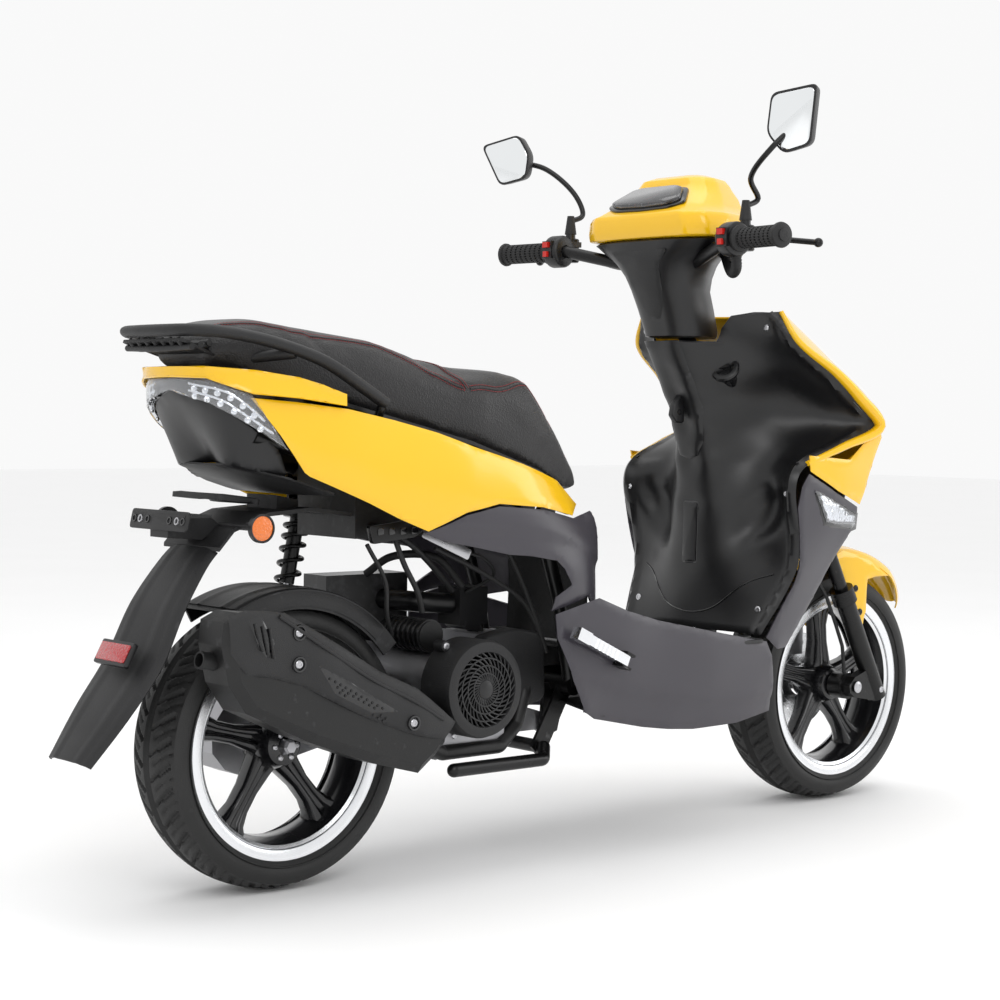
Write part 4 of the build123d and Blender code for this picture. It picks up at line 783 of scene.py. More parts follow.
# yellow front cowl with its wings, lamp glass and black brow
cowl_outline = [
    (-217, 650), (-226, 684), (-234, 722), (-229, 774), (-220, 815), (-198, 870), (-168, 925), (168, 925),
    (198, 870), (220, 815), (229, 774), (234, 722), (226, 684), (217, 650),
]
cowl = skin("front_cowl_shell", cowl_outline, face_of(cowl_face), 3, yellow, "chassis", "paint_yellow",
            toward=(3000, 0, 800), cell=9, lip=3)
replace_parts(cowl, "front_cowl")
lamp_outline = [(-150, 742), (-60, 716), (60, 716), (150, 742), (168, 700), (120, 664), (-120, 664),
    (-168, 700)]
skin("headlamp_bowl", lamp_outline, face_of(cowl_face, 1.6), 2, silver, "chassis", "clear_lens",
    toward=(3000, 0, 700))
lamp = skin("headlamp_lens", rounded(lamp_outline, 8), face_of(cowl_face, 6.0), 2, clear, "chassis",
    "clear_lens",
            toward=(3000, 0, 700), lip=3)
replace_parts(lamp, "front_lamps")
brow = [(-118, 925), (-100, 850), (-60, 790), (0, 770), (60, 790), (100, 850), (118, 925)]
skin("front_brow", brow, face_of(cowl_face, 3.0), 2, gloss_black, "chassis", "black_plastic",
    toward=(3000, 0, 800),
     lip=3)
chin = [(-214, 646), (-150, 560), (-96, 470), (96, 470), (150, 560), (214, 646)]
chin_face = through([(0, 646, 662), (0, 560, 640), (0, 470, 600), (214, 646, 530), (-214, 646, 530),
                     (150, 560, 596), (-150, 560, 596), (96, 470, 576), (-96, 470, 576), (100, 646, 640),
                         (-100, 646, 640)])
skin("front_chin", chin, face_of(chin_face, -4.0), 3, matt_black, "chassis", "black_plastic",
                  toward=(3000, 0, 500), cell=14)
# a black lip that closes the shield's edge against the cowl, with the yellow edge outside it
edge_right = [(-219, 654), (-226, 684), (-233, 722), (-230, 774), (-221, 815), (-199, 871), (-172, 922)]
edge_line = [on_face(y, z, 2) for y, z in edge_right]
for side, word in ((RIGHT, "right"), (LEFT, "left")):
    line = [Vector((p.x + 4, side * abs(p.y) * 1.0, p.z)) for p in edge_line]
    tube("cowl_edge_" + word, line, [6, 10, 13, 12, 10, 8, 5], yellow, "chassis", "paint_yellow", 12, 60,
        flat=0.8)
    inner = [Vector((p.x - 3, side * (abs(p.y) - 17), p.z)) for p in edge_line]
    tube("shield_lip_" + word, inner, [3, 5, 6, 6, 6, 5, 3], gloss_black, "chassis", "black_plastic", 10, 60)

# ---- seat: a stuffed vinyl cushion with a step, welded seams and red stitching ----
seat_base_line = np.array([(-750, 800), (-509, 746), (-273, 692), (-118, 642), (-36, 602), (2, 600)])
seat_top_line = np.array([
    (-756, 836), (-735, 860), (-680, 868), (-582, 856), (-456, 842), (-357, 815), (-296, 804), (-200, 801),
    (-150, 792), (-118, 764), (-80, 726), (-40, 683), (-8, 648), (2, 622),
])
seat_half = np.array([(-756, 70), (-700, 100), (-560, 112), (-400, 122), (-260, 130), (-150, 120), (-60,
    92), (2, 64)])


def seat_shape(x, inset):
    """One closed section of the cushion at x, drawn in by inset."""
    low = np.interp(x, seat_base_line[:, 0], seat_base_line[:, 1])
    high = np.interp(x, seat_top_line[:, 0], seat_top_line[:, 1]) - inset
    half = np.interp(x, seat_half[:, 0], seat_half[:, 1]) - inset
    rise = max(high - low, 14)
    ring = [(1.0, 0.0), (1.03, 0.3), (1.02, 0.62), (0.93, 0.87), (0.72, 0.975), (0.4, 1.0), (0.0, 1.0)]
    right = [(x, -half * a, low + rise * b) for a, b in ring]
    left = [(x, half * a, low + rise * b) for a, b in reversed(ring[:-1])]
    return right + left + [(x, half * a, low) for a in (0.5, 0, -0.5)]


stations = [-752, -742, -725, -700] + list(range(-670, -20, 26)) + [-20, -6, 0]
cushion = grid_piece("cushion", [seat_shape(x, 5.0) for x in stations], vinyl, "seat", "vinyl", sharp=60)


def voxels(piece, size):
    remesh = piece.modifiers.new("voxels", "REMESH")
    remesh.mode = "VOXEL"
    remesh.voxel_size = size * MM
    return settled(piece, 80)


def stuffed(piece, pressure, cap, frames):
    """The piece blown up like a filled cover, no point moving further than cap."""
    rest = np.array([v.co for v in piece.data.vertices])
    cloth = piece.modifiers.new("stuffing", "CLOTH")
    cloth.settings.quality = 5
    cloth.settings.mass = 0.3
    cloth.settings.tension_stiffness = 30
    cloth.settings.compression_stiffness = 20
    cloth.settings.bending_stiffness = 3
    cloth.settings.use_pressure = True
    cloth.settings.uniform_pressure_force = pressure
    cloth.settings.effector_weights.gravity = 0
    cloth.point_cache.frame_start = 1
    cloth.point_cache.frame_end = frames
    for number in range(1, frames + 1):
        bpy.context.scene.frame_set(number)
    graph = bpy.context.evaluated_depsgraph_get()
    grown = np.array([v.co for v in piece.evaluated_get(graph).data.vertices])
    piece.modifiers.clear()
    bpy.context.scene.frame_set(1)
    if len(grown) != len(rest):
        return piece
    step = grown - rest
    far = np.linalg.norm(step, axis=1)
    share = np.minimum(1, cap * MM / np.maximum(far, 1e-9))
    for vertex, place in zip(piece.data.vertices, rest + step * share[:, None]):
        vertex.co = place
    return piece


voxels(cushion, 6.0)
stuffed(cushion, 4.0, 9.0, 20)
floor_line = np.interp([v.co.x / MM for v in cushion.data.vertices], seat_base_line[:, 0],
    seat_base_line[:, 1])
smooth = cushion.modifiers.new("relax", "SMOOTH")
smooth.iterations = 6
smooth.factor = 0.5
settled(cushion, 80)
for vertex, low in zip(cushion.data.vertices, floor_line):
    vertex.co.z = max(vertex.co.z, (low + 0.5) * MM)
finer = cushion.modifiers.new("finer", "SUBSURF")
finer.levels = 1
finer.render_levels = 1
settled(cushion, 80)
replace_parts(cushion, "seat_cushion")

tree = BVHTree.FromPolygons([v.co.copy() for v in cushion.data.vertices],
    [tuple(p.vertices) for p in cushion.data.polygons])


def seat_top(x, y):
    """The cushion's top above a point, and its normal."""
    hit, normal, _, _ = tree.ray_cast(Vector((x, y, 1100)) * MM, Vector((0, 0, -1)))
    return (hit / MM, normal) if hit else (None, None)


def seam_on_seat(name, plan):
    """A sewn seam: a raised welt with a row of red stitches on each side."""
    line = [seat_top(x, y) for x, y in spline(plan, 110)]
    line = [(p, n) for p, n in line if p is not None]
    tube(name + "_welt", [p + n * 0.2 for p, n in line][::4], 1.7, vinyl, "seat", "vinyl", 8, 120)
    stitches, faces = [], []
    for offset in (-4.2, 4.2):
        run = [p + n * 0.9 + n.cross((line[min(i + 1, len(line) - 1)][0] - line[max(i - 1,
            0)][0]).normalized()) * offset
               for i, (p, n) in enumerate(line)]
        fine = spline(run, len(run) * 5)
        for i in range(0, len(fine) - 4, 5):
            a, b = Vector(fine[i]), Vector(fine[i + 3])
            way = (b - a).normalized()
            across = way.cross(Vector((0, 0, 1))).normalized() * 0.75
            lift = across.cross(way).normalized() * 0.6
            start = len(stitches)
            for place, scale in ((a, 0.5), ((a + b) / 2 + lift * 0.6, 1.0), (b, 0.5)):
                stitches += [place + across * scale, place + lift * scale, place - across * scale,
                    place - lift * scale]
            for step in (0, 4):
                for k in range(4):
                    n = (k + 1) % 4
                    faces.append((start + step + k, start + step + n, start + step + 4 + n,
                        start + step + 4 + k))
    mesh_piece(name + "_thread", stitches, faces, thread_red, "seat", "vinyl", 60)


for side, word in ((RIGHT, "right"), (LEFT, "left")):
    seam_on_seat("seat_seam_" + word, [(x, side * y) for x, y in (
        (-735, 52), (-690, 76), (-600, 84), (-480, 88), (-400, 92), (-340, 104), (-290, 112))])
seam_on_seat("seat_seam_step", [(-288, -112), (-330, -70), (-352, -30), (-356, 0), (-352, 30), (-330, 70),
    (-288, 112)])
for side, word in ((RIGHT, "right"), (LEFT, "left")):
    seam_on_seat("seat_seam_front_" + word, [(x, side * y) for x, y in (
        (-280, 112), (-200, 108), (-140, 92), (-90, 74), (-40, 58), (-12, 48))])
repaint("seat_pan", black)

# ---- grab rail: a flat-topped loop with a slotted shelf between its arms ----
rail_line = [
    (-478, 146, 748), (-520, 149, 770), (-590, 149, 806), (-650, 142, 826), (-700, 132, 838), (-752, 116,
        846),
    (-786, 84, 848), (-796, 40, 848), (-798, 0, 848),
]
whole_rail = [(x, -y, z) for x, y, z in rail_line] + [(x, y, z) for x, y, z in reversed(rail_line[:-1])]
rail_piece = tube("grab_rail_loop", whole_rail, 12.5, matt_black, "chassis", "black_metal", 20, 120,
    flat=0.72)
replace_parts(rail_piece, "grab_rail")
shelf = []
for row in range(4):
    x = -784 + row * 20
    z = 824 + row * 3.6
    half = 88 - row * 8
    shelf.append(tube(f"shelf_bar_{row}", [(x, -half, z), (x - 5, 0, z - 2), (x, half, z)], 5.0,
        matt_black, "chassis",
                      "black_metal", 10, 20))
for column in range(-3, 4):
    y = column * 22
    shelf.append(tube(f"shelf_rib_{column + 3}", [(-794, y, 836), (-780, y, 823), (-722, y, 834)], 4.2,
        matt_black,
                      "chassis", "black_metal", 10, 20))
joined(shelf, "grab_rail_shelf")
skirt_rail = rounded([(-796, -86), (-796, 86), (-700, 66), (-700, -66)], 10)
skin("grab_rail_back", skirt_rail, lambda x, y: np.stack([x, y, 838 - (x + 796) * 0.36 + 0 * y], 1), 4,
    matt_black,
     "chassis", "black_metal", toward=(-760, 0, 3000), cell=20)
for side, word in ((RIGHT, "right"), (LEFT, "left")):
    tube("grab_rail_foot_" + word, [(-480, side * 146, 750), (-481, side * 132, 722), (-481, side * 113, 690),
                                    (-480, side * 108, 662)], 7, metal_black, "chassis", "black_metal",
                                        12, 24)
    tube("grab_rail_arm_" + word, [(-640, side * 140, 820), (-672, side * 100, 812), (-700, side * 70, 806)],
         [10, 7, 6], matt_black, "chassis", "black_metal", 12, 20)

# ---- tail: yellow strip, clear lamp over light pipes, dark body, under-cowl ----
tail_plan = spline([(-556, 157), (-600, 154), (-640, 150), (-680, 142), (-712, 130), (-742, 106), (-760, 70),
                    (-768, 35), (-770, 0), (-768, -35), (-760, -70), (-742, -106), (-712, -130), (-680, -142),
                    (-640, -150), (-600, -154), (-556, -157)], 241)
tail_run = np.concatenate([[0], np.cumsum(np.linalg.norm(np.diff(tail_plan, axis=0), axis=1))])
tail_middle = tail_run[-1] / 2


def run_at(x):
    """How far round the tail, from its tip, a point of the right side at x lies."""
    half = tail_plan[120:]
    return np.interp(x, half[:, 0], tail_run[120:] - tail_middle)


def round_tail(out=0.0, lean=0.0, base=780.0, tip=0.0):
    def shape(s, z):
        x = np.interp(s + tail_middle, tail_run, tail_plan[:, 0])
        y = np.interp(s + tail_middle, tail_run, tail_plan[:, 1])
        width = np.maximum(np.hypot((x + 640) * 0.9, y), 1)
        leaning = lean + tip * np.exp(-((s / 110) ** 2))
        scale = 1 + (out - leaning * (base - z)) / width
        return np.stack([(x + 640) * scale - 640, y * scale, z], 1)
    return shape


def wrapped(upper, lower):
    """A band outline round the tail from its upper and lower edges on the right, rear to front."""
    right_up = [(run_at(x), z) for x, z in upper]
    right_low = [(run_at(x), z) for x, z in lower]
    left_up = [(-s, z) for s, z in right_up]
    left_low = [(-s, z) for s, z in right_low]
    return right_up + right_low[::-1] + left_low + left_up[::-1]


strip = wrapped([(-770, 797), (-755, 797), (-705, 792), (-640, 783), (-600, 773), (-560, 760)],
                [(-770, 781), (-755, 779), (-708, 757), (-640, 752), (-600, 747), (-560, 742)])
skin("tail_strip", strip, round_tail(0.5), 3, yellow, "chassis", "paint_yellow", toward=(-640, 0, 3000),
    cell=8)
glass = wrapped([(-770, 780), (-755, 778), (-735, 768), (-709, 756), (-690, 728)],
                [(-770, 762), (-755, 744), (-735, 728), (-690, 700), (-652, 676)])
lens = skin("tail_lens", glass, round_tail(-0.5, 0.05), 2, clear, "chassis", "clear_lens", toward=(-4000,
    0, 740), cell=8)
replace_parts(lens, "tail_lamp_lens")
skin("tail_lamp_body", glass, round_tail(-9, 0.05), 2, gloss_black, "chassis", "black_plastic",
    toward=(-4000, 0, 740),
     cell=10)
rows = (((-766, 772), (-740, 760), (-716, 742), (-690, 718)), ((-766, 762), (-744, 748), (-718, 728),
    (-676, 700)))
for number, row in enumerate(rows):
    for side, word in ((RIGHT, "right"), (LEFT, "left")):
        line = spline([(run_at(x), z) for x, z in row], 14)
        place = round_tail(-5, 0.05)(-side * line[:, 0], line[:, 1])
        tube(f"light_pipe_{word}_{number}", list(place), 2.2, silver, "chassis", "clear_lens", 8, 40)
        for k in range(1, 13, 2):
            lathe(f"lamp_cell_{word}_{number}_{k}", [(-1.5, 0), (-1.5, 4.2), (0.5, 4.8), (1.6, 3.0), (1.8,
                0)],
                  Vector(place[k]) + Vector((0, 0, -6)), silver, "chassis", "clear_lens", (-0.6,
                      side * 0.8, 0), 14)
under_band = wrapped([(-770, 760), (-755, 742), (-735, 726), (-690, 698), (-652, 674), (-628, 641)],
                     [(-770, 654), (-760, 653), (-745, 651), (-722, 648), (-700, 645), (-668, 640), (-630,
                         634)])
housing = skin("tail_under_cowl", under_band, round_tail(-3, 0.32, 760, 0.34), 3, black, "chassis",
    "black_plastic",
               toward=(-4000, 0, 600), cell=9)
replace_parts(housing, "tail_housing")
tail_floor = rounded([(-706, -62), (-706, 62), (-640, 132), (-560, 140), (-560, -140), (-640, -132)], 14)
floor_slope = through([(-706, 0, 650), (-560, 0, 604), (-560, 140, 606), (-560, -140, 606), (-706, 62,
    651), (-706, -62, 651)])
skin("tail_floor", tail_floor, lambda x, y: np.stack([x, y, floor_slope(x, y)], 1), 3, matt_black, "chassis",
     "black_plastic", toward=(-600, 0, -3000), cell=20)
shelf_plate = rounded([(-722, -66), (-722, 66), (-640, 60), (-640, -60)], 12)
skin("tail_step", shelf_plate, lambda x, y: np.stack([x, y, 612 - (x + 722) * 0.12 + 0 * y], 1), 8,
    matt_black,
     "chassis", "black_plastic", toward=(-680, 0, 3000), cell=20)

# ---- wheels: treaded tyres, five-spoke alloys with a machined lip ----


def tyre_mesh(name, centre, half_width, body, replaced):
    """A lathed carcass whose crown carries slanted grooves."""
    profile = [(-46, 165), (-47, 172), (-half_width * 0.88, 178), (-half_width * 0.98, 186), (-half_width,
        194),
               (-half_width * 0.95, 202)]
    crown = np.linspace(-0.9, 0.9, 27) * half_width
    rise = tyre_radius - 17 * np.abs(crown / half_width) ** 2.3 - 0.2
    outer = profile + list(zip(crown, rise)) + [(-a, r) for a, r in reversed(profile)]
    inner = [(40, 165), (30, 172), (0, 190), (-30, 172), (-40, 165)]
    ring = np.array(outer + inner, float)
    steps = 432
    rows = []
    for i in range(steps):
        angle = 2 * math.pi * i / steps
        a, r = ring[:, 0], ring[:, 1].copy()
        share = np.abs(a) / half_width
        shift = np.where(a > 0, 0.5, 0.0) + share * 1.1
        phase = (angle / (2 * math.pi) * 36 + shift) % 1.0
        slant = (phase < 0.2) & (share > 0.14) & (share < 0.82)
        centre_groove = (np.abs(share - 0.1) < 0.035)
        sipe = (np.abs(phase - 0.6) < 0.07) & (share > 0.3) & (share < 0.9)
        crown_part = (np.arange(len(a)) >= 5) & (np.arange(len(a)) < 5 + 29)
        r = r - np.where(crown_part & (slant | centre_groove), 4.2, 0.0)
        r = r - np.where(crown_part & sipe & ~slant, 2.4, 0.0)
        rows.append(np.stack([centre.x + r * math.cos(angle), a, centre.z + r * math.sin(angle)], 1))
    rows.append(rows[0])
    piece = grid_piece(name, rows, tyre_rubber, body, "tyre", True, False, 30)
    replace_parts(piece, replaced)
    for sign, word in ((-1, "right"), (1, "left")):
        for radius in (181, 190):
            lathe(f"{name}_bead_{word}_{radius}", [(sign * half_width * 0.90, radius),
                (sign * (half_width * 0.98 + 0.6), radius + 0.8),
                  (sign * (half_width * 0.98 + 0.6), radius + 1.8), (sign * half_width * 0.90, radius + 2.6)],
                  (centre.x, 0, centre.z), tyre_rubber, body, "tyre", steps=128)
    return piece


def alloy_wheel(word, centre, body, replaced, hub_half):
    ring = [(-50, 175), (-46.5, 175), (-45, 166), (-30, 160), (-14, 150), (14, 150), (30, 160), (45, 166),
        (46.5, 175),
            (50, 175), (50, 169), (47, 158), (32, 152), (16, 143), (-16, 143), (-32, 152), (-47, 158),
                (-50, 169)]
    barrel = lathe(word + "_wheel_barrel", ring, (centre.x, 0, centre.z), alloy_black, body,
        "alloy_black", steps=160)
    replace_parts(barrel, replaced)
    for sign in (-1, 1):
        side = "right" if sign < 0 else "left"
        lathe(f"{word}_lip_{side}", [(sign * 50.2, 175.5), (sign * 51.6, 174), (sign * 51.2, 163),
            (sign * 49, 158.5),
                                     (sign * 46.5, 158), (sign * 48, 166), (sign * 48, 175.5)],
              (centre.x, 0, centre.z), turned_alloy, body, "aluminium", steps=160, sharp=25)
        lathe(f"{word}_lip_line_{side}", [(sign * 46, 157.8), (sign * 47.2, 156), (sign * 44, 151),
            (sign * 42, 153)],
              (centre.x, 0, centre.z), turned_alloy, body, "aluminium", steps=160, sharp=25)
    spokes = []
    for turn in range(5):
        angle = 2 * math.pi * turn / 5 + 0.32
        rows = []
        for reach, width, depth, lean in ((26, 24, 20, 0), (48, 20, 19, 1), (80, 15, 17, 3), (112, 16, 16, 5),
                                          (134, 22, 18, 6), (148, 32, 24, 7)):
            section = [(-1.0, 0.55), (-0.72, 1.0), (-0.34, 1.0), (-0.2, 0.72), (0.2, 0.72), (0.34, 1.0),
                (0.72, 1.0),
                       (1.0, 0.55), (1.0, -0.55), (0.72, -1.0), (0.34, -1.0), (0.2, -0.72), (-0.2, -0.72),
                       (-0.34, -1.0), (-0.72, -1.0), (-1.0, -0.55)]
            rows.append([
                (centre.x + math.cos(angle) * reach - math.sin(angle) * (a * width + lean), b * depth,
                 centre.z + math.sin(angle) * reach + math.cos(angle) * (a * width + lean)) for a,
                     b in section
            ])
        spoke = grid_piece(f"{word}_spoke_{turn}", rows, alloy_black, body, "alloy_black", sharp=40)
        spokes.append(bevelled(spoke, 1.6, 2, 50))
    hub = [(-hub_half, 0), (-hub_half, 22), (-hub_half + 4, 30), (-hub_half + 12, 34), (-18, 38), (18, 38),
           (hub_half - 12, 34), (hub_half - 4, 30), (hub_half, 22), (hub_half, 0)]
    spokes.append(lathe(word + "_hub", hub, (centre.x, 0, centre.z), alloy_black, body, "alloy_black",
        steps=72))
    joined(spokes, word + "_wheel_spokes")
    valve = centre + Vector((math.cos(1.6), 0, math.sin(1.6))) * 138
    tube(word + "_valve", [(valve.x, -30, valve.z), (valve.x, -44, valve.z - 6)], 3.2, rubber, body,
        "rubber", 12, 6)


tyre_mesh("front_tyre_tread", front_axle, high_of("front_tyre").y - 0.5, "front_wheel", "front_tyre")
tyre_mesh("rear_tyre_tread", rear_axle, high_of("rear_tyre").y - 0.5, "rear_wheel", "rear_tyre")
alloy_wheel("front", front_axle, "front_wheel", "front_rim", 42)
alloy_wheel("rear", rear_axle, "rear_wheel", "rear_rim", 42)
for k in range(6):
    angle = math.pi * 2 * k / 6
    screw(Vector((rear_axle.x + 20 * math.cos(angle), -42, rear_axle.z + 20 * math.sin(angle))), (0, -1, 0),
          "rear_wheel", 4.5, steel, f"hub_bolt_{k}")
lathe("rear_axle_nut", [(-58, 0), (-58, 9), (-54, 12), (-46, 14), (-42, 14), (-42, 0)], rear_axle, steel,
    "rear_wheel",
      "steel", steps=6, sharp=20)
repaint("brake_disc", turned_alloy)

# ---- fork, calliper and front fender ----
repaint("fork_sliders", metal_black)
repaint("brake_calliper", cast)
repaint("front_cables", rubber)
repaint("steering_stem", metal_black)
leg_foot = Vector((front_axle.x + 61, 0, front_axle.z))
for side, word in ((RIGHT, "right"), (LEFT, "left")):
    def on_leg(s, out=0.0):
        return leg_foot + up * s + Vector((0, side * (88 + out), 0))
    boot = []
    for k in range(9):
        boot += [on_leg(186 + k * 3.4), on_leg(187.7 + k * 3.4)]
    wave = [23.6 if k % 2 == 0 else 20.5 for k in range(len(boot))]
    tube("fork_boot_" + word, boot, wave, rubber, "fork_lower", "rubber", 24, 64, 80)
    foot = leg_foot + Vector((0, side * 98, 0))
    screw(Vector((front_axle.x, side * 101, front_axle.z)), (0, side, 0), "fork_lower", 11, steel,
        "axle_cap_" + word)
    screw(on_leg(-10, 17), (0, side, 0), "fork_lower", 6, steel, "fork_bolt_" + word)
fender_rows = []
for angle in np.linspace(math.radians(119), math.radians(34), 44):
    tip = max(0.0, (math.degrees(angle) - 34) / 85)
    half = 66 * min(1,
        0.12 + 1.25 * math.sin(math.pi * min(1,
        (1 - tip) * 0.02 + tip * 0.62)) ** 0.55) if tip < 0.5 else 66
    radius = 262.5
    row = []
    for t in np.linspace(-1, 1, 23):
        drop = 5 * abs(t) ** 3 + (14 * max(0, abs(t) - 0.86) / 0.14)
        ridge = 3.0 * math.exp(-((abs(t) - 0.45) / 0.12) ** 2)
        r = radius - drop + ridge
        row.append((front_axle.x + r * math.cos(angle), t * half, front_axle.z + r * math.sin(angle)))
    fender_rows.append(row)
fender = thicken(grid_piece("front_fender_arch", fender_rows, yellow, "fork_lower", "paint_yellow", False,
    False, 60), 2.5, 60, 1.0)
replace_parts(fender, "front_fender")
flap_outline = [(640, 448), (664, 470), (700, 482), (745, 474), (790, 458), (840, 428), (800, 428), (776,
    424),
                (773, 396), (771, 360), (757, 320), (738, 332), (707, 360), (712, 384), (706, 416), (694,
                    440)]
for side, word in ((RIGHT, "right"), (LEFT, "left")):
    skin("fender_side_" + word, flap_outline, lambda x, z: np.stack([x, side * (69.2 - 0 * z), z], 1), 3,
                 yellow, "fork_lower", "paint_yellow", toward=(700, side * 3000, 400), lip=3)
    for number, (x, z) in enumerate([(736, 408), (750, 362)]):
        screw(Vector((x, side * 69.6, z)), (0, side, 0), "fork_lower", 6.5, metal_black,
            f"fender_screw_{word}_{number}")

# ---- rear end: hugger, mudguard, plate bracket, flap and reflectors ----
repaint("rear_hugger", matt_black)
hugger_rows = []
for angle in np.linspace(math.radians(46), math.radians(117), 40):
    row = []
    for t in np.linspace(-1, 1, 25):
        r = 242.5 - 26 * max(0, abs(t) - 0.9) / 0.1 + 2.2 * math.exp(-((abs(t) - 0.4) / 0.06) ** 2)
        row.append((rear_axle.x + r * math.cos(angle), max(-70, min(70, t * 78)),
            rear_axle.z + r * math.sin(angle)))
    hugger_rows.append(row)
thicken(grid_piece("hugger_skin", hugger_rows, matt_black, "engine", "black_plastic", False, False, 50),
    1.2, 50, 1.0)
repaint("rear_mudguard", matt_black)
flap_line = [(-145, 526.7), (-160, 512), (-207, 447), (-248, 366), (-300, 296), (-352, 227)]
flap_half = [60, 62, 72, 76, 72, 56]
flap_rows = []
samples = spline([(rear_axle.x + x, w, z) for (x, z), w in zip(flap_line, flap_half)], 36)
for number, (x, half, z) in enumerate(samples):
    row = []
    for t in np.linspace(-1, 1, 21):
        crown = 7 * (1 - t * t) - 3 + 3.0 * math.exp(-((abs(t) - 0.55) / 0.07) ** 2) - 5 * max(0,
            abs(t) - 0.93) / 0.07
        row.append((x - crown * 0.8, t * half, z + crown * 0.55))
    flap_rows.append(row)
flap = thicken(grid_piece("mudflap_skin", flap_rows, matt_black, "chassis", "black_plastic", False, False,
    50), 3, 50, 1.0)
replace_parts(flap, "mudflap")
for side, word in ((RIGHT, "right"), (LEFT, "left")):
    for number, (x, z) in enumerate([(-752, 490), (-792, 434)]):
        screw(Vector((x, side * 34, z)), (-0.85, 0, 0.5), "chassis", 6, steel, f"flap_screw_{word}_{number}")
red_way = Vector((-0.88, 0, 0.47)).normalized()


def plate_facing(name, centre, way, wide, tall, deep, material, slot, bevel=1.5, corner=4):
    """A rounded flat block that faces along way, its width across the machine."""
    rise = way.cross(Vector((0, 1, 0))).normalized()
    outline = rounded([(-wide, -tall), (wide, -tall), (wide, tall), (-wide, tall)], corner)
    rows = [[centre + Vector((0, a, 0)) + rise * b + way * c for a, b in outline] for c in (0, deep)]
    piece = grid_piece(name, rows, material, "chassis", slot)
    return bevelled(piece, bevel, 2)


plate_facing("red_reflector_back", Vector((-850, 0, 376)), red_way, 44, 19, 8, black, "black_plastic")
lens_piece = plate_facing("red_reflector_lens", Vector((-856.5, 0, 379.5)), red_way, 39, 14, 3, red_lens,
    "amber_red", 1, 3)
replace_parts(lens_piece, "reflectors")
for side, word in ((RIGHT, "right"), (LEFT, "left")):
    centre = Vector((-688, side * 124, 562))
    lathe("side_reflector_ring_" + word, [(0, 0), (0, 21.5), (7, 21.5), (8, 20), (7.5, 18.5), (3, 18), (3,
        0)], centre,
          black, "chassis", "black_plastic", (0, side, 0), 64)
    lathe("side_reflector_" + word, [(3, 0), (3, 18.3), (6.5, 18), (7.6, 14), (8.2, 8), (8.4, 0)], centre,
        amber,
          "chassis", "amber_red", (0, side, 0), 64)
plate_facing("plate_bracket", Vector((-779, 0, 570)), Vector((-0.97, 0, 0.22)).normalized(), 78, 15, 4,
                       matt_black, "black_plastic", 1.5, 6)
for side in (-1, 1):
    for k, reach in enumerate((30, 50, 66)):
        lathe(f"bracket_eye_{'rl'[side > 0]}_{k}", [(3.6, 3.4), (3.6, 6.2), (5.4, 5.8), (5.4, 3.8)],
              Vector((-779, side * reach, 570)), steel if k == 1 else gloss_black, "chassis", "steel",
              (-0.97, 0, 0.22), 20)
    screw(Vector((-762, side * 14, 580.5)), (0, 0, 1), "chassis", 5, steel, f"bracket_bolt_{'rl'[side > 0]}")

# ---- exhaust with its heat shield ----
repaint("exhaust", exhaust_black)
guard_outline = [(-772, 442), (-745, 449), (-712, 447), (-678, 443), (-597, 400), (-503, 346), (-426,
    313), (-349, 255),
                 (-372, 228), (-420, 238), (-500, 264), (-570, 296), (-640, 330), (-700, 348), (-742,
                     354), (-770, 388)]
guard_depth = through([
    (-772, 442, 172.5), (-745, 449, 174), (-678, 443, 176), (-597, 400, 177), (-503, 346, 176), (-426,
        313, 174),
    (-349, 255, 172.5), (-372, 228, 173), (-500, 264, 174), (-640, 330, 175), (-742, 354, 174), (-700,
        400, 182),
    (-600, 360, 183.5), (-500, 305, 182.5), (-420, 270, 180), (-735, 400, 181),
])
shell = skin("heat_shield_skin", guard_outline, side_of(guard_depth, RIGHT), 3, matt_black, "engine",
    "black_plastic",
             toward=(-500, -3000, 300), cell=7, lip=4)
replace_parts(shell, "heat_shield")


def on_guard(name, outline, out, material, lip=1.5, wall=2):
    return skin(name, outline, side_of(guard_depth, RIGHT, out), wall, material, "engine", "black_plastic",
                toward=(-500, -3000, 300), cell=8, lip=lip)


vent = [(-744, 436), (-722, 440), (-700, 400), (-712, 378), (-728, 396)]
on_guard("shield_scoop", vent, 1.2, gloss_black)
for k in range(3):
    slot_line = [(-734 + k * 12, 430 - k * 4), (-728 + k * 11, 404 - k * 6), (-722 + k * 10, 390 - k * 6)]
    tube(f"shield_slot_{k}", [(x, -float(guard_depth(x, z)[0]) - 2.6, z) for x, z in slot_line], 2.4,
        matt_black,
         "engine", "black_plastic", 8, 14)
rib_line = [(-690, 438), (-610, 388), (-520, 334), (-440, 296), (-380, 262)]
tube("shield_rib", [(x, -float(guard_depth(x, z)[0]) - 0.6, z) for x, z in rib_line], 3.2, matt_black,
    "engine",
     "black_plastic", 10, 60)
mesh_outline = [(-622, 362), (-560, 332), (-508, 302), (-470, 282), (-520, 284), (-590, 318)]
on_guard("shield_mesh_panel", mesh_outline, 0.8, gloss_black, 1.0)
dots = []
for i in range(15):
    for j in range(4):
        x = -612 + i * 10 + (j % 2) * 5
        z = 358 - (x + 622) * 0.52 - 6 - j * 6
        width = edge_distance(np.array([[x, z]]), mesh_outline)[0]
        if width > 4 and -606 < x < -488:
            dots.append(lathe(f"mesh_dot_{i}_{j}", [(0, 0), (0, 2.4), (1.2, 1.8), (1.2, 0)],
                              Vector((x, -float(guard_depth(x, z)[0]) - 1.2, z)), matt_black, "engine",
                                  "black_plastic",
                              (0, -1, 0), 8))
if dots:
    joined(dots, "shield_mesh_dots")
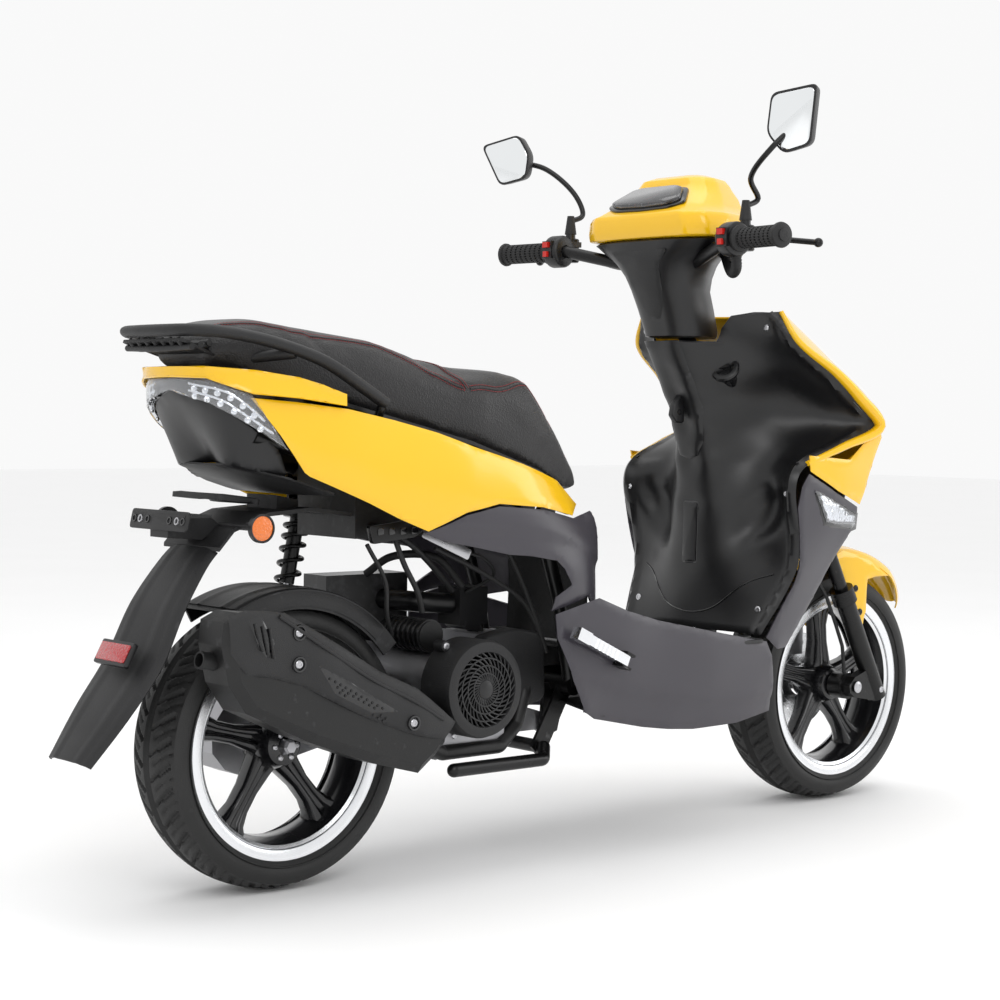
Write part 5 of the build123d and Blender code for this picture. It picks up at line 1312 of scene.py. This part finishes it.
for number, (x, z) in enumerate([(-655, 412), (-655, 366), (-440, 262)]):
    lathe(f"shield_well_{number}", [(0, 8), (0, 12.5), (2.4, 11.5), (2.4, 9)],
          Vector((x, -float(guard_depth(x, z)[0]) - 0.2, z)), gloss_black, "engine", "black_plastic", (0,
              -1, 0), 32)
    screw(Vector((x, -float(guard_depth(x, z)[0]) + 0.4, z)), (0, -1, 0), "engine", 6.5, steel,
        f"shield_bolt_{number}")
lathe("muffler_tail_tube", [(0, 10), (0, 13), (26, 13), (26, 10)], Vector((-768, -128, 372)),
    exhaust_black, "engine",
      "black_metal", (-0.98, 0, 0.18), 32)

# ---- engine ----
for node, material in (
    ("crankcase", cast), ("cylinder", cast), ("starter_motor", metal_black), ("intake", black),
    ("cooling_fan", metal_black), ("main_frame", metal_black), ("fuel_tank", metal_black),
    ("luggage_bucket", matt_black), ("centre_stand", metal_black), ("kick_lever", metal_black),
    ("shock_body", metal_black), ("shock_rod", steel), ("footpeg_right", turned_alloy),
    ("footpeg_left", turned_alloy), ("handlebar", metal_black), ("switch_housings", black),
    ("brake_lever_right", metal_black), ("brake_lever_left", metal_black),
):
    repaint(node, material)
cover_low = low_of("fan_cover")
fan_at = Vector((middle("cooling_fan").x, 0, middle("cooling_fan").z))
face = cover_low.y
ring = [(-100, 72), (-100, 78), (face + 12, 78), (face + 3, 75), (face, 68), (face, 60), (face + 4, 58),
    (face + 10, 58),
        (face + 10, 62), (-104, 72)]
shroud = lathe("fan_shroud", ring, fan_at, matt_black, "engine", "black_plastic", steps=96)
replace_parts(shroud, "fan_cover")
vanes = []
for k in range(30):
    start = 2 * math.pi * k / 30
    points = [(fan_at.x + r * math.cos(start + r * 0.022), face + 2.5,
        fan_at.z + r * math.sin(start + r * 0.022))
              for r in (15, 26, 38, 50, 60)]
    vanes.append(tube(f"vane_{k}", points, 1.5, black, "engine", "black_plastic", 6, 12))
for r in (26, 38, 50):
    vanes.append(lathe(f"vane_ring_{r}", [(face + 1, r - 1.2), (face + 1, r + 1.2), (face + 4, r + 1.2),
        (face + 4, r - 1.2)],
                       fan_at, black, "engine", "black_plastic", steps=72))
vanes.append(lathe("vane_hub", [(face, 0), (face, 12), (face + 1.5, 14.5), (face + 5, 14.5), (face + 5,
    0)], fan_at,
                   black, "engine", "black_plastic", steps=48))
joined(vanes, "fan_grille")
for k, angle in enumerate((0.6, 2.2, 3.7, 5.3)):
    centre = fan_at + Vector((84 * math.cos(angle), -120, 84 * math.sin(angle)))
    lathe(f"shroud_boss_{k}", [(-8, 0), (-8, 9), (14, 9), (14, 0)], centre, matt_black, "engine",
        "black_plastic", steps=20)
    screw(centre + Vector((0, -8, 0)), (0, -1, 0), "engine", 6, steel, f"shroud_bolt_{k}")
prism("cylinder_cowl",
    rounded([(-228, 264), (-228, 372), (-160, 384), (-96, 372), (-92, 262), (-160, 246)], 16), -96, -60,
      matt_black, "engine", "black_plastic", 6)
sump = rounded([(-352, 214), (-330, 192), (-214, 190), (-196, 212), (-196, 236), (-352, 238)], 10)
prism("sump_casting", sump, -112, -20, cast, "engine", "aluminium", 3)
for k in range(4):
    block(f"sump_rib_{k}", (-340 + k * 34, -110, 186), (-336 + k * 34, -30, 194), cast, "engine",
        "aluminium", 1)
    screw(Vector((-344 + k * 40, -112, 222)), (0, -1, 0), "engine", 5.5, steel, f"sump_bolt_{k}")
case_face = high_of("crankcase").y
for k, (x, z) in enumerate([(-286, 368), (-224, 316), (-236, 238), (-330, 216), (-440, 190), (-560, 168),
    (-628, 212),
                            (-560, 280), (-440, 332)]):
    screw(Vector((x, case_face - 6.5, z)), (0, 1, 0), "engine", 6, steel, f"case_bolt_{k}")
belt_ribs = []
for k in range(6):
    belt_ribs.append(tube(f"belt_rib_{k}", [(-430 - k * 22, case_face - 6, 312 - k * 9), (-452 - k * 22,
        case_face - 5, 196 - k * 4)],
                          3, cast, "engine", "aluminium", 8, 8))
joined(belt_ribs, "belt_case_ribs")

# hoses, leads and small gear about the engine
for name, points, radius, material in (
    ("fuel_hose", [(-470, -60, 560), (-430, -84, 552), (-380, -84, 530), (-330, -70, 500), (-252, -40,
        446)], 5, rubber),
    ("breather_hose", [(-352, 60, 470), (-330, 20, 500), (-280, -30, 500), (-232, -42, 452)], 6.5, rubber),
    ("oil_line", [(-420, -96, 548), (-404, -104, 500), (-372, -100, 452), (-356, -92, 420)], 4.5, rubber),
    ("starter_lead", [(-392, -60, 384), (-420, -84, 420), (-430, -92, 470), (-470, -96, 530)], 3.5, rubber),
    ("plug_lead", [(-110, -48, 320), (-100, -84, 350), (-140, -96, 420), (-220, -96, 470), (-330, -90,
        520)], 4, rubber),
    ("vacuum_hose", [(-214, -30, 440), (-190, -70, 470), (-230, -92, 500), (-310, -92, 520)], 3, rubber),
    ("battery_lead", [(-180, -88, 520), (-150, -96, 460), (-120, -96, 400), (-90, -92, 340)], 4.5, rubber),
):
    tube(name, points, radius, material, "chassis", "rubber", 12, 60)
for k in range(9):
    t = k / 8
    lathe(f"starter_band_{k}", [(-1.5, 23), (-1.5, 26.5), (1.5, 26.5), (1.5, 23)],
          Vector((middle("starter_motor").x, -82 + t * 96, middle("starter_motor").z)), black, "engine",
              "black_metal", steps=40)
bracket_outline = rounded([(-486, 560), (-380, 572), (-372, 556), (-396, 540), (-478, 532)], 6)
prism("cable_guide", bracket_outline, -122, -112, metal_black, "chassis", "black_metal", 2)
for k in range(4):
    x = -470 + k * 22
    prism(f"guide_slot_{k}", rounded([(x, 545), (x + 12, 547), (x + 12, 558), (x, 556)], 3), -123.6, -121,
        gloss_black,
          "chassis", "black_metal", 0.6)
prism("rating_plate", rounded([(-372, 540), (-276, 500), (-268, 516), (-364, 556)], 4), -108, -106, steel,
    "chassis",
      "steel", 0.4)
prism("air_cleaner_lid", rounded([(-414, 390), (-254, 390), (-254, 464), (-414, 464)], 14),
    high_of("intake").y - 2,
      high_of("intake").y + 6, black, "engine", "black_plastic", 3)
for k, (x, z) in enumerate([(-402, 402), (-402, 452), (-266, 402), (-266, 452)]):
    screw(Vector((x, high_of("intake").y + 6, z)), (0, 1, 0), "engine", 5, steel, f"lid_screw_{k}")

# ---- shock absorber spring ----
top = Vector((-455, 102, 585))
foot = Vector((-505, 102, 328))
way = (foot - top).normalized()
length = (foot - top).length
first = way.cross(Vector((0, 1, 0))).normalized()
second = way.cross(first)
coil_points = []
turns = 9.0
for k in range(int(turns * 28) + 1):
    t = k / (turns * 28)
    angle = 2 * math.pi * turns * t
    ease = t + 0.035 * math.sin(2 * math.pi * t) * -1
    coil_points.append(top + way * (28 + (length - 74) * ease) + (first * math.cos(angle) + second *
        math.sin(angle)) * 18.6)
rows = []
for i, point in enumerate(coil_points):
    ahead = (coil_points[min(i + 1, len(coil_points) - 1)] - coil_points[max(i - 1, 0)]).normalized()
    inward = (top + way * (point - top).dot(way) - point).normalized()
    across = ahead.cross(inward).normalized()
    rows.append([point + (inward * math.cos(a) + across * math.sin(a)) * 3.3 for a in np.linspace(0,
        2 * math.pi, 11)[:-1]])
spring = grid_piece("shock_coil", rows, metal_black, "shock_upper", "black_metal", True, True, 60)
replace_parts(spring, "shock_spring")

# ---- handlebar cover, instrument and neck ----


def cover_row(low_x, high_x, half, nose, z, corner=9):
    """A horizontal section of the handlebar cover: a broad flat rear and a narrower nose."""
    span = high_x - low_x
    outline = [
        (low_x, -half * 0.74), (low_x + span * 0.10, -half * 0.97), (low_x + span * 0.34, -half),
        (low_x + span * 0.72, -half * 0.80), (high_x - span * 0.08, -nose * 1.05), (high_x, -nose * 0.55),
        (high_x, nose * 0.55), (high_x - span * 0.08, nose * 1.05), (low_x + span * 0.72, half * 0.80),
        (low_x + span * 0.34, half), (low_x + span * 0.10, half * 0.97), (low_x, half * 0.74),
    ]
    return [(x, y, z) for x, y in rounded(outline, corner, 4)]


cover_rows = [
    cover_row(208, 398, 144, 56, 1047), cover_row(200, 404, 152, 60, 1049.5), cover_row(197, 412, 153, 61,
        1062),
    cover_row(194, 428, 149, 57, 1082), cover_row(196, 429, 143, 54, 1090), cover_row(203, 429, 131, 50,
        1095),
    cover_row(222, 426, 116, 46, 1108), cover_row(242, 420, 104, 42, 1124), cover_row(262, 408, 88, 38, 1140),
    cover_row(266, 402, 84, 36, 1148, 7), cover_row(270, 392, 76, 32, 1158, 7), cover_row(284, 372, 56,
        26, 1164, 6),
]
cover = grid_piece("handlebar_cover_shell", cover_rows, yellow, "steering", "paint_yellow", sharp=24)
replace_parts(bevelled(cover, 1.2, 2, 30), "handlebar_cover")
lens_low = Vector((203, 0, 1097))
lens_way = Vector((59, 0, 44)).normalized()
lens_up = Vector((-lens_way.z, 0, lens_way.x))


def on_dial(a, b, out=0.0):
    """A place on the dial: a across the machine, b up the slope."""
    return lens_low + Vector((0, a, 0)) + lens_way * (b * 0.62 + 3) + lens_up * (out - 3)


def dial_plate(name, outline, low, high, material, slot="instrument", bevel=0.8):
    rows = [[on_dial(a, b, c) for a, b in outline] for c in (low, high)]
    return bevelled(grid_piece(name, rows, material, "steering", slot), bevel, 2)


dial_shape = rounded([(-86, 26), (-62, 8), (0, 3), (62, 8), (86, 26), (62, 92), (44, 102), (-44, 102),
    (-62, 92)], 12, 5)
bezel_shape = rounded([(-96, 24), (-68, 0), (0, -5), (68, 0), (96, 24), (70, 100), (48, 110), (-48, 110),
    (-70, 100)], 14, 5)
dial_plate("instrument_bezel", bezel_shape, 0, 5.5, gloss_black, "black_plastic", 1.5)
face_piece = dial_plate("instrument_face", dial_shape, 2, 6.4, dial)
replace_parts(face_piece, "instrument")
marks = []
for k in range(31):
    angle = math.radians(204 - k * 7.6)
    long_mark = 7 if k % 5 == 0 else 4
    a0, b0 = 30 * math.cos(angle), 42 + 30 * math.sin(angle)
    a1, b1 = (30 + long_mark) * math.cos(angle), 42 + (30 + long_mark) * math.sin(angle)
    width = 0.8 if k % 5 == 0 else 0.45
    n = Vector((-(b1 - b0), a1 - a0)).normalized() * width
    quad = [(a0 - n.x, b0 - n.y), (a1 - n.x, b1 - n.y), (a1 + n.x, b1 + n.y), (a0 + n.x, b0 + n.y)]
    rows = [[on_dial(a, b, c) for a, b in quad] for c in (6.2, 6.9)]
    marks.append(grid_piece(f"dial_mark_{k}", rows, white_ink, "steering", "instrument"))
joined(marks, "dial_marks")
needle = [(-1.6, 34), (1.6, 34), (-18.6, 60), (-19.6, 59.4)]
rows = [[on_dial(a, b, c) for a, b in needle] for c in (7.0, 8.2)]
grid_piece("dial_needle", rows, red_plastic, "steering", "instrument")
dial_plate("dial_window", rounded([(46, 36), (72, 36), (66, 62), (46, 62)], 3), 6.2, 7.2, silver,
    "instrument", 0.4)
dial_plate("fuel_window", rounded([(-72, 36), (-46, 36), (-46, 62), (-66, 62)], 3), 6.2, 7.2, silver,
    "instrument", 0.4)
for k, (a, material) in enumerate([(-48, amber), (-32, white_ink), (-16, red_plastic), (0, white_ink),
    (16, red_plastic), (32, white_ink), (48, amber)]):
    lathe(f"tell_tale_{k}", [(0, 0), (0, 3.6), (1.2, 3.2), (1.4, 0)], on_dial(a, 16 - abs(a) * 0.02, 6.2),
        material, "steering",
          "instrument", tuple(lens_up), 20)
lens_rows = []
for c, scale in ((7.5, 1.0), (10.0, 1.0), (12.0, 0.985), (13.2, 0.94)):
    lens_rows.append([on_dial(a * scale, 50 + (b - 50) * scale, c) for a, b in dial_shape])
grid_piece("instrument_window", lens_rows, smoke, "steering", "clear_lens", sharp=50)


def neck_row(low_x, high_x, half, nose, z, slant=0.0):
    span = high_x - low_x
    outline = [
        (low_x, -half * 0.42), (low_x + span * 0.05, -half * 0.72), (low_x + span * 0.2, -half),
        (low_x + span * 0.55, -half * 0.96), (high_x - span * 0.12, -nose), (high_x, -nose * 0.5),
            (high_x, nose * 0.5),
        (high_x - span * 0.12, nose), (low_x + span * 0.55, half * 0.96), (low_x + span * 0.2, half),
        (low_x + span * 0.05, half * 0.72), (low_x, half * 0.42),
    ]
    ring = spline(outline + [outline[0]], 73)[:-1]
    return [(x, y, z + slant * (x - low_x)) for x, y in ring]


neck_rows = [
    neck_row(262, 384, 50, 26, 876), neck_row(257, 390, 56, 29, 878), neck_row(254, 391, 57.5, 30, 890),
    neck_row(240, 380, 60, 32, 925), neck_row(223, 367, 62, 34, 960), neck_row(213, 371, 70, 36, 984),
    neck_row(203, 380, 86, 40, 1006), neck_row(200, 392, 118, 50, 1026), neck_row(201, 402, 147, 58, 1043),
    neck_row(206, 398, 143, 56, 1046.5),
]
neck = grid_piece("neck_shell", neck_rows, black, "steering", "black_plastic", sharp=42)
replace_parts(neck, "neck_cover")
skin_line = [(-26, 906), (26, 906), (44, 1000), (70, 1026), (-70, 1026), (-44, 1000)]
neck_face = through([(0, 896, 252), (0, 925, 239), (0, 960, 221), (0, 984, 211), (0, 1006, 201), (0, 1030,
    197),
                     (-40, 906, 256), (40, 906, 256), (-40, 960, 226), (40, 960, 226), (-70, 1026, 200),
                         (70, 1026, 200)])
skin("neck_front_pad", rounded(skin_line, 8, 3), lambda y, z: np.stack([neck_face(y, z) - 2, y, z], 1), 3,
    matt_black,
     "steering", "black_plastic", toward=(-3000, 0, 950), lip=3, cell=8)
for side in (-1, 1):
    screw(Vector((226, side * 62, 1030)), (-0.8, side * 0.5, -0.3), "steering", 5, metal_black,
        "neck_screw_" + "rl"[side > 0])

# ---- grips, levers, switches ----
bar_bend = [Vector((212, 205, 1036)), Vector((190, 345, 1035))]
grip_way = (bar_bend[1] - bar_bend[0]).normalized()
for side, word, body, node in ((RIGHT, "right", "throttle", "throttle_grip"), (LEFT, "left", "steering",
    "left_grip")):
    way = Vector((grip_way.x, side * grip_way.y, grip_way.z))
    end = Vector((190, side * 345, 1035))
    profile = [(-112, 11.5), (-112, 22), (-108, 23), (-105, 22.4), (-103, 19), (-101, 17.2)]
    for k in range(8):
        s = -98 + k * 11.4
        profile += [(s, 17.6), (s + 0.6, 15.6), (s + 3.6, 15.6), (s + 4.2, 17.6), (s + 10.6, 17.8)]
    profile += [(-6, 18), (-4.6, 21.2), (-1.5, 21.6), (1.5, 20.4), (3.6, 15), (4.0, 0)]
    grip = lathe("grip_" + word, [(s, r) for s, r in profile], end, rubber, body, "rubber", tuple(way),
        72, sharp=40)
    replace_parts(grip, node)
    ribs = []
    for k in range(24):
        angle = math.pi * 2 * k / 24
        around = way.cross(Vector((0, 0, 1))).normalized() * math.cos(angle) + Vector((0, 0,
            1)) * math.sin(angle)
        ribs.append(tube(f"grip_rib_{word}_{k}", [end + way * s + around * 17.3 for s in (-98, -60, -10)],
            0.9, rubber, body,
                         "rubber", 6, 6))
    joined(ribs, "grip_ribs_" + word)
    lathe("bar_end_" + word, [(3, 0), (3, 11), (6.5, 10.4), (7.2, 6), (6.2, 0)], end, matt_black, body,
        "rubber", tuple(way), 40)
    hub = end - way * 128
    shell = [(-17, 12), (-17, 25), (-14, 28.6), (-11, 29.6), (10, 29.6), (13, 28.6), (15.4, 25), (15.4, 12)]
    lathe("switch_drum_" + word, shell, hub, black, "steering", "black_plastic", tuple(way), 48, sharp=40)
    post = Vector((hub.x + 36, hub.y, hub.z + 4))
    cap = [(-22, 0), (-22, 10), (-20, 12), (20, 12), (22, 10), (22, 0)]
    lathe("lever_perch_" + word, cap, post, metal_black, "steering", "black_metal", (0, 0, 1), 28)
    screw(post + Vector((0, 0, 22)), (0, 0, 1), "steering", 6, steel, "lever_screw_" + word)
    if side == RIGHT:
        sleeve_path = [(hub.x + 8, hub.y, hub.z - 22), (hub.x + 20, hub.y + 10, hub.z - 44), (hub.x + 50,
            hub.y + 44, hub.z - 52),
                       (hub.x + 92, hub.y + 92, hub.z - 40), (hub.x + 120, hub.y + 128, hub.z - 14)]
        fine = spline(sleeve_path, 66)
        tube("cable_boot_" + word, [tuple(p) for p in fine], [9.6 if k % 2 else 8.0 for k in range(66)],
            rubber, "steering", "rubber",
             18, 66, 80)
    lead = [(post.x + 6, post.y - side * 4, post.z - 4), (post.x + 30, post.y - side * 40, post.z - 22),
            (post.x + 60, post.y - side * 92, post.z - 34), (post.x + 76, post.y - side * 132, post.z - 14)]
    tube("lever_cable_" + word, lead, 3.2, rubber, "steering", "rubber", 12, 50)
for node in ("starter_button", "light_switch", "horn_button", "indicator_switch"):
    if node in nodes:
        repaint(node, red_plastic)

# ---- mirrors: glass behind a bevelled shell ----
mirror_data = (
    ("right", RIGHT, "mirror_r", [(250, -236, 1098), (232, -236, 1140), (222, -292, 1186), (252, -318, 1232)],
     [(-41, 46), (42, 57), (30, -44), (-20, -56), (-50, -20)]),
    ("left", LEFT, "mirror_l", [(250, 236, 1098), (262, 232, 1146), (222, 272, 1194), (168, 312, 1206)],
     [(-54, 31), (27, 48), (50, 10), (42, -34), (-15, -45)]),
)
for word, side, body, stem, outline in mirror_data:
    hub = Vector((190, side * 345, 1035)) - Vector((grip_way.x, side * grip_way.y, grip_way.z)) * 128
    foot = Vector((hub.x + 30, hub.y, hub.z + 34))
    path = [foot + Vector((0, 0, 24)),
        Vector((stem[0][0] + 20, hub.y,
        stem[0][2] + 10))] + [Vector(p) for p in stem[1:3]] + [Vector(stem[3]) + Vector((17, 5, 1))]
    tube("mirror_arm_" + word, path, 4.9, metal_black, body, "black_metal", 16, 60)
    tube("mirror_boot_" + word, [foot, foot + Vector((0, 0, 12)), foot + Vector((0, 0, 22)),
        foot + Vector((0, 0, 34))],
         [11, 10.4, 8.6, 6.4], rubber, body, "rubber", 20, 14)
    head = Vector(stem[3])
    facing = Vector((-0.93, -0.30, -0.05))
    across = Vector((0.30, -0.93, 0)).normalized()
    facing = (facing - across * facing.dot(across)).normalized()
    rise = facing.cross(across).normalized()

    def on_mirror(shape, scale, out):
        middle_a = sum(a for a, _ in shape) / len(shape)
        middle_b = sum(b for _, b in shape) / len(shape)
        return [head + across * (middle_a + (a - middle_a) * scale) + rise * (middle_b + (b - middle_b) *
            scale) + facing * out
                for a, b in shape]

    ring = rounded(outline, 13, 5)
    depth = ((12, 0.96), (11.4, 1.0), (8, 1.01), (-8, 0.96), (-14, 0.88), (-18, 0.7), (-20, 0.4), (-20.5,
        0.1))
    shell = grid_piece("mirror_shell_" + word, [on_mirror(ring, s, c) for c, s in depth], black, body,
        "black_plastic", sharp=35)
    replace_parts(shell, "mirror_" + word)
    glass = grid_piece("mirror_glass_" + word, [on_mirror(ring, s, c) for c, s in ((9.5, 0.91), (12.4,
        0.91), (12.9, 0.895))],
                       mirror_glass, body, "steel", sharp=35)
    tube("mirror_ball_" + word, [head - facing * 24, head - facing * 14], 9, black, body, "black_plastic",
        20, 8)

# ---- studio ----
floor_material = finish("studio_floor", (0.93, 0.93, 0.93), (0.96, 0.96, 0.96), 0.9, tone=2.0)


def panel_light(name, place, target, size, power):
    data = bpy.data.lights.new(name, "AREA")
    data.shape = "RECTANGLE"
    data.size = size[0]
    data.size_y = size[1]
    data.energy = power
    lamp = bpy.data.objects.new(name, data)
    bpy.context.scene.collection.objects.link(lamp)
    lamp.location = Vector(place)
    lamp.rotation_euler = (Vector(target) - Vector(place)).to_track_quat("-Z", "Y").to_euler()
    return lamp


bpy.ops.mesh.primitive_plane_add(size=40, location=(0, 0, 0))
floor = bpy.context.active_object
floor.name = "studio_floor_plane"
floor.data.materials.append(floor_material)
world = bpy.data.worlds.new("studio")
bpy.context.scene.world = world
world.use_nodes = True
background = world.node_tree.nodes["Background"]
background.inputs["Color"].default_value = (1.0, 1.0, 1.0, 1.0)
background.inputs["Strength"].default_value = 0.95
panel_light("key_light", (-2.2, -3.4, 3.2), (0, 0, 0.5), (2.6, 2.0), 45)
panel_light("top_light", (0.2, 0.2, 3.6), (0, 0, 0.5), (3.4, 2.4), 35)
panel_light("side_light", (3.6, -2.2, 1.8), (0.2, 0, 0.6), (1.6, 2.4), 25)

bpy.context.scene.view_settings.view_transform = "Standard"
